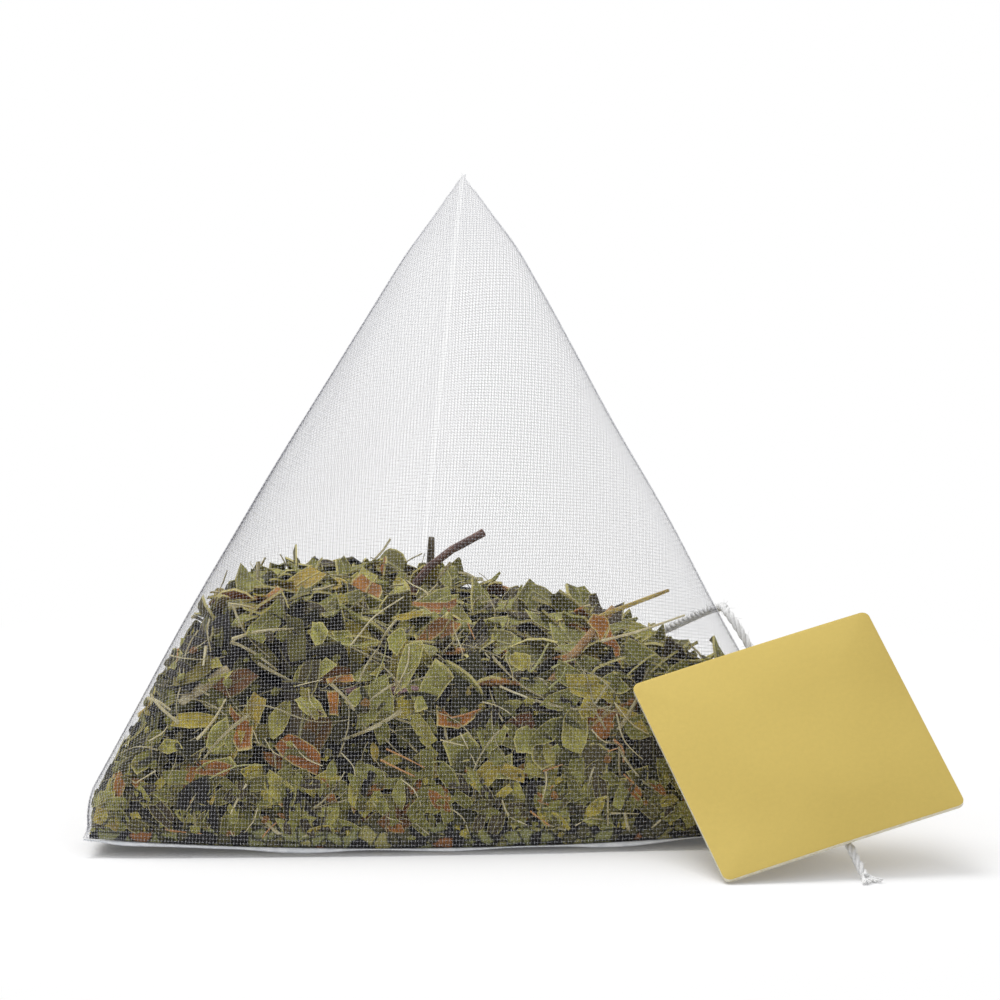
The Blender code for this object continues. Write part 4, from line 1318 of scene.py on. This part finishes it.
seenStems = {  # width in pixels, then the line
    "straw": (
        (1.4, ((453, 621), (455, 631), (462, 649), (462, 657))),
        (2.6, ((500, 685), (513, 691), (526, 696), (535, 702))),
        (1.5, ((482, 701), (497, 705), (509, 712), (517, 720))),
        (1.8, ((440, 739), (451, 742), (464, 745))),
        (1.5, ((460, 732), (466, 744), (476, 765))),
        (1.2, ((506, 657), (512, 671), (513, 683))),
        (3.2, ((246, 783), (237, 798), (230, 813))),
        (1.5, ((258, 803), (254, 818), (250, 824), (245, 831), (240, 833))),
        (1.6, ((230, 830), (235, 840))),
        (1.8, ((290, 842), (300, 837), (313, 831))),
        (2.8, ((196, 738), (206, 727), (215, 715), (225, 697))),
        (1.6, ((146, 738), (161, 731), (167, 723))),
        (1.6, ((155, 769), (134, 782))),
        (1.8, ((114, 764), (119, 778), (130, 785))),
        (1.4, ((253, 729), (258, 742))),
        (3.4, ((204, 643), (202, 663))),
        (3.0, ((602, 640), (640, 630), (686, 614))),
        (1.8, ((617, 713), (623, 737), (633, 750), (643, 759))),
        (1.6, ((615, 702), (631, 722), (649, 734))),
        (1.8, ((546, 771), (546, 785), (540, 808))),
        (1.6, ((592, 729), (600, 738), (608, 743))),
        (1.8, ((608, 796), (608, 826))),
        (1.6, ((611, 813), (639, 814))),
        (2.2, ((661, 820), (649, 830))),
        (1.8, ((350, 644), (362, 629), (375, 614), (404, 595))),
        (1.8, ((409, 645), (407, 664), (394, 691))),
        (1.3, ((297, 684), (322, 678))),
        (1.2, ((308, 688), (311, 703), (326, 714))),
        (1.6, ((400, 778), (414, 790), (421, 806))),
        (1.5, ((372, 801), (383, 815), (402, 822))),
        (1.4, ((446, 806), (462, 817), (469, 833))),
        (1.7, ((502, 800), (509, 816), (527, 825))),
        (1.3, ((341, 752), (353, 766), (355, 781))),
        (1.6, ((291, 741), (305, 757), (322, 765))),
        (1.4, ((575, 826), (590, 818), (602, 820))),
        (1.3, ((264, 737), (273, 751), (287, 757))),
    ),
    "rust": (
        (1.6, ((468, 622), (475, 638))),
        (1.8, ((451, 717), (467, 713), (481, 708))),
        (2.4, ((380, 759), (400, 769), (417, 777))),
        (2.0, ((386, 748), (405, 757), (424, 767))),
        (2.8, ((614, 739), (623, 748), (624, 762))),
        (1.8, ((608, 751), (618, 748))),
        (1.8, ((543, 771), (563, 764))),
        (1.8, ((624, 774), (639, 788))),
        (2.2, ((530, 811), (554, 829))),
        (1.6, ((174, 645), (173, 658), (169, 664))),
        (1.8, ((259, 841), (267, 830), (278, 820))),
        (2.6, ((158, 827), (180, 830), (201, 832))),
    ),
    "green": (
        (1.6, ((431, 762), (442, 761), (455, 771))),
        (1.6, ((374, 682), (384, 655), (386, 641))),
        (1.8, ((207, 778), (223, 770), (241, 764), (267, 764))),
        (2.4, ((549, 688), (563, 675), (566, 665))),
        (2.4, ((552, 667), (563, 662), (576, 658))),
        (2.6, ((530, 671), (537, 664), (549, 642))),
        (1.2, ((247, 695), (247, 716))),
        (1.3, ((208, 809), (202, 821))),
        (1.6, ((380, 681), (393, 673))),
        (1.6, ((327, 633), (347, 644), (377, 641))),
    ),
}
seenLay = {
    "leafDepth": 0.00040,
    "leafTilt": 0.00045,
    "leafCurl": (-0.00012, 0.0003),
    "leafThickness": 0.00012,
    "leafRings": (1.0, 0.62),
    "edgeSteps": 3,
    "edgePixels": 0.7,
    "stemDepth": 0.00037,
    "stemRadius": 0.00005,
    "stemStep": 0.0005,
    "metresPerPixel": 0.0000813,
    "middlePixel": 430,
}


def underPixel(x, y, depth):
    # The point under the mesh that shows at a pixel. Past the pouch's edge it moves in towards the middle.
    for step in range(30):
        place, towards = pixelRay(x + (seenLay["middlePixel"] - x) * 0.01 * step, y)
        hit, normal, _, _ = pouchSkin.ray_cast(place, towards)
        if hit is not None:
            return hit - normal * depth
    raise ValueError(f"no mesh at pixel {x}, {y}")


def makeSeenLeaves():
    # Each leaf is a curled plate: two fans of rings from its rim to its middle, joined round the rim.
    chance = random.Random(51)
    points, polygons, uvs, tones = [], [], [], []
    steps, shift = seenLay["edgeSteps"], seenLay["edgePixels"]
    for tone, outline in seenLeaves:
        middle = Vector((sum(x for x, _ in outline), sum(y for _, y in outline))) / len(outline)
        size = max((Vector(p) - middle).length for p in outline)
        lean = Vector((chance.uniform(-1, 1), chance.uniform(-1, 1)))
        curl = chance.uniform(*seenLay["leafCurl"])
        rim = []
        for start, end in zip(outline, outline[1:] + outline[:1]):
            for k in range(steps):
                place = Vector(start).lerp(Vector(end), k / steps)
                rim.append(place + Vector((chance.uniform(-shift, shift), chance.uniform(-shift, shift))))
        count = len(rim)
        plate = [(middle.lerp(place, ring), ring) for ring in seenLay["leafRings"] for place in rim]
        plate.append((middle, 0.0))
        top = len(points)
        for layer in (0, seenLay["leafThickness"]):
            first = len(points)
            for at, ring in plate:
                off = (at - middle) / size
                depth = seenLay["leafDepth"] + seenLay["leafTilt"] * (1 + off.dot(lean)) / 2
                points.append(underPixel(at.x, at.y, depth + curl * (1 - ring) + layer))
                uvs.append((0.5 + off.x / 2, 0.6 + 0.4 * ring))
                tones.append(tone)
            faces = []
            for k in range(count):
                after = (k + 1) % count
                faces.append((first + k, first + after, first + count + after, first + count + k))
                faces.append((first + count + k, first + count + after, first + 2 * count))
            polygons += faces if layer else [face[::-1] for face in faces]
        for k in range(count):
            after = (k + 1) % count
            polygons.append((top + k, top + after, first + after, first + k))
    mesh = outwardMesh("leafSeen", points, polygons)
    pointValues(mesh, "tone", tones)
    flakeMap(mesh, uvs)
    keepInside(mesh, leaf["nearest"])
    # The seen leaves take the lit copy of the leaf finish, with painted light.
    piece = newObject("leafSeen", mesh, brightLeaf)
    mesh.set_sharp_from_angle(angle=math.radians(50))
    dress(piece, "leaf_mix")


def makeSeenStems(kind, finish):
    chains, swell = [], []
    for width, line in seenStems[kind]:
        half = width * seenLay["metresPerPixel"] / 2
        route, _ = smoothRoute([underPixel(x, y, seenLay["stemDepth"] + half) for x, y in line],
                               seenLay["stemStep"])
        chains.append(route)
        for k, point in enumerate(route):
            t = k / (len(route) - 1)
            swell.append(half / seenLay["stemRadius"] * (1 - 0.35 * t + 0.12 * noise.noise(point / 0.0006)))
    piece = guideObject(kind + "StemsSeen", chains, swell)
    runTree(piece, threads, {"Radius": seenLay["stemRadius"], "Sides": 6, "Finish": finish})
    piece.data.shade_smooth()
    keepInside(piece.data, leaf["nearestSmall"])
    dress(piece, "stem")


makeSeenLeaves()
makeSeenStems("straw", stalkFinish("brightStraw", (0.62, 0.50, 0.22), (0.95, 0.88, 0.60)))
makeSeenStems("rust", stalkFinish("rustStem", (0.42, 0.17, 0.06), (0.80, 0.44, 0.16)))
makeSeenStems("green", stalkFinish("greenStem", (0.32, 0.32, 0.10), (0.66, 0.64, 0.28)))
print("leaves and stems that show made")


# Core of the heap and the large flakes and stems that the solids give, each roughened from its own solid
def solidCopy(node, name, cuts):
    # A merged and divided copy of a solid.
    shape = bmesh.new()
    shape.from_mesh(nodes[node].data)
    bmesh.ops.remove_doubles(shape, verts=shape.verts, dist=0.000005)
    bmesh.ops.subdivide_edges(shape, edges=shape.edges, cuts=cuts, use_grid_fill=True)
    bmesh.ops.triangulate(shape, faces=shape.faces)
    mesh = bpy.data.meshes.new(name)
    shape.to_mesh(mesh)
    shape.free()
    return mesh


def solidTwin(node, name, slot, finish, cuts, rough, scale, tone=0.5, slim=1.0, reach=0.0):
    # slim thins the piece about its long axis, and reach draws its lower end on into the heap.
    mesh = solidCopy(node, name, cuts)
    normals = [Vector(vert.normal) for vert in mesh.vertices]
    seed = Vector((len(name) * 3.1, sum(map(ord, node)) * 0.37, 0))
    for vert, normal in zip(mesh.vertices, normals):
        shift = noise.noise_vector(vert.co / scale + seed)
        flat = shift - normal * shift.dot(normal) * 0.7
        vert.co += flat * rough + noise.noise_vector(vert.co / (scale * 0.35) + seed) * rough * 0.35
    centre = sum((v.co for v in mesh.vertices), Vector()) / len(mesh.vertices)
    spread = np.array([v.co - centre for v in mesh.vertices])
    axes = np.linalg.svd(spread, full_matrices=False)[2]
    extents = spread @ axes.T
    low, high = extents.min(0), extents.max(0)
    shares = (extents - low) / np.maximum(high - low, 1e-6)
    downwards = -1 if axes[0][2] > 0 else 1
    sunk = shares[:, 0] if downwards > 0 else 1 - shares[:, 0]
    for vert, extent, down in zip(mesh.vertices, extents, sunk):
        if slim < 1:
            taper = slim * (1 - 0.25 * (2 * down - 1) ** 4)
            vert.co = centre + Vector(axes[0]) * extent[0] + (
                Vector(axes[1]) * extent[1] + Vector(axes[2]) * extent[2]) * taper
        vert.co += Vector(axes[0]) * downwards * reach * down
    flakeMap(mesh, shares[:, :2])
    pointValues(mesh, "tone", [tone] * len(mesh.vertices))
    keepInside(mesh, leaf["nearest"])
    piece = newObject(name, mesh, finish)
    mesh.set_sharp_from_angle(angle=math.radians(50))
    dress(piece, slot, node)


noise.seed_set(5)  # without this, noise_vector takes its seed from the clock
# The core takes the shaded leaf finish and the darkest tone: painted shade for the inside of the heap.
solidTwin("leaf_heap", "heapCore", "leaf_mix", shadedLeaf, cuts=2, rough=0.0004, scale=0.0016, tone=0.04)
twinChance = random.Random(40)
for node in flakeNodes:
    solidTwin(node, node + "_scrap", "leaf_mix", dryLeaf, cuts=3, rough=0.00045, scale=0.0016,
              tone=pickTone(twinChance, outerTones))
stems = {  # dark and pale colour, slim and reach
    "stem_long_twig": ((0.22, 0.10, 0.03), (0.62, 0.38, 0.15), 0.70, 0.0),
    "stem_purple": ((0.22, 0.10, 0.11), (0.62, 0.38, 0.40), 0.85, 0.0),
    "stem_cream_stalk": ((0.52, 0.38, 0.15), (0.90, 0.82, 0.56), 0.95, 0.0),
    "stem_yellow": ((0.46, 0.31, 0.06), (0.78, 0.60, 0.18), 0.50, 0.0042),
    "stem_upright": ((0.06, 0.05, 0.035), (0.26, 0.21, 0.13), 0.80, 0.001),
    "stem_curved_twig": ((0.09, 0.05, 0.045), (0.30, 0.17, 0.13), 1.0, 0.0),
}
for node, (dark, pale, slim, reach) in stems.items():
    solidTwin(node, node + "_wood", "stem", stalkFinish(node + "Finish", dark, pale), cuts=2, rough=0.00008,
              scale=0.0009, slim=slim, reach=reach)
print("large flakes, stems and core made")


# Floor, backdrop and light
studio = {
    "floorSize": 6.0,
    "floorColour": (0.88, 0.88, 0.885),
    "floorGlow": 0.08,
    "glowFrom": 0.040,
    "glowTo": 0.075,
    "worldLow": 0.10,
    "worldHigh": 0.81,
    "keyShare": 0.63,
    "keyPlace": Vector((-0.30, 0.28, 0.90)),
    "keySize": 0.5,
}


def cameraRay(tree):
    path = addNode(tree, "ShaderNodeLightPath")
    seen = mathNode(tree, "MAXIMUM", path.outputs["Is Camera Ray"], path.outputs["Is Glossy Ray"])
    return mathNode(tree, "MAXIMUM", seen, path.outputs["Is Transmission Ray"])


def makeFloor():
    # Away from the bag the floor that is seen fades from lit to glowing, so that it ends in plain white.
    half = studio["floorSize"] / 2
    mesh = meshFrom("floor", [(-half, -half, 0), (half, -half, 0), (half, half, 0), (-half, half, 0)],
                    [(0, 1, 2, 3)])
    material, tree, shader = newMaterial("paleFloor", {
        "Roughness": 0.9, "Specular IOR Level": 0.0, "Emission Color": (1, 1, 1, 1)})
    away = addNode(tree, "ShaderNodeVectorMath", {"operation": "LENGTH"}, in0=objectPlace(tree)).outputs["Value"]
    far = mapRange(tree, away, studio["glowFrom"], studio["glowTo"], 0.0, 1.0)
    farSeen = mathNode(tree, "MULTIPLY", cameraRay(tree), far)
    lit = mixColours(tree, "MIX", farSeen, studio["floorColour"], (0, 0, 0))
    tree.links.new(lit, shader.inputs["Base Color"])
    nearGlow = mathNode(tree, "MULTIPLY", cameraRay(tree), studio["floorGlow"])
    farGlow = mathNode(tree, "MULTIPLY", farSeen, 1 - studio["floorGlow"])
    tree.links.new(mathNode(tree, "ADD", nearGlow, farGlow), shader.inputs["Emission Strength"])
    newObject("floor", mesh, material, smooth=False)


def makeLight():
    # A white world that lights more from above, and one large lamp.
    world = bpy.data.worlds.new("softStudio")
    bpy.context.scene.world = world
    world.use_nodes = True
    tree = world.node_tree
    back = tree.nodes["Background"]
    back.inputs["Color"].default_value = (1, 1, 1, 1)
    where = addNode(tree, "ShaderNodeTexCoord").outputs["Generated"]
    height = addNode(tree, "ShaderNodeSeparateXYZ", in0=where).outputs[2]
    sky = mapRange(tree, height, 0.0, 1.0, studio["worldLow"], studio["worldHigh"])
    tree.links.new(mapRange(tree, cameraRay(tree), 0.0, 1.0, sky, 1.0), back.inputs["Strength"])
    lamp = bpy.data.lights.new("keySoftbox", "AREA")
    lamp.shape = "SQUARE"
    lamp.size = studio["keySize"]
    place = studio["keyPlace"]
    lamp.energy = studio["keyShare"] * math.pi**2 * place.length_squared
    key = bpy.data.objects.new("keySoftbox", lamp)
    key.location = place
    key.rotation_euler = (-place).to_track_quat("-Z", "Y").to_euler()
    bpy.context.scene.collection.objects.link(key)
    bpy.context.scene.view_settings.view_transform = "Standard"


makeFloor()
makeLight()
for group in list(scratch.children):
    for shape in list(group.objects):
        bpy.data.objects.remove(shape)
    bpy.data.collections.remove(group)
bpy.data.collections.remove(scratch)
print("all pieces made")
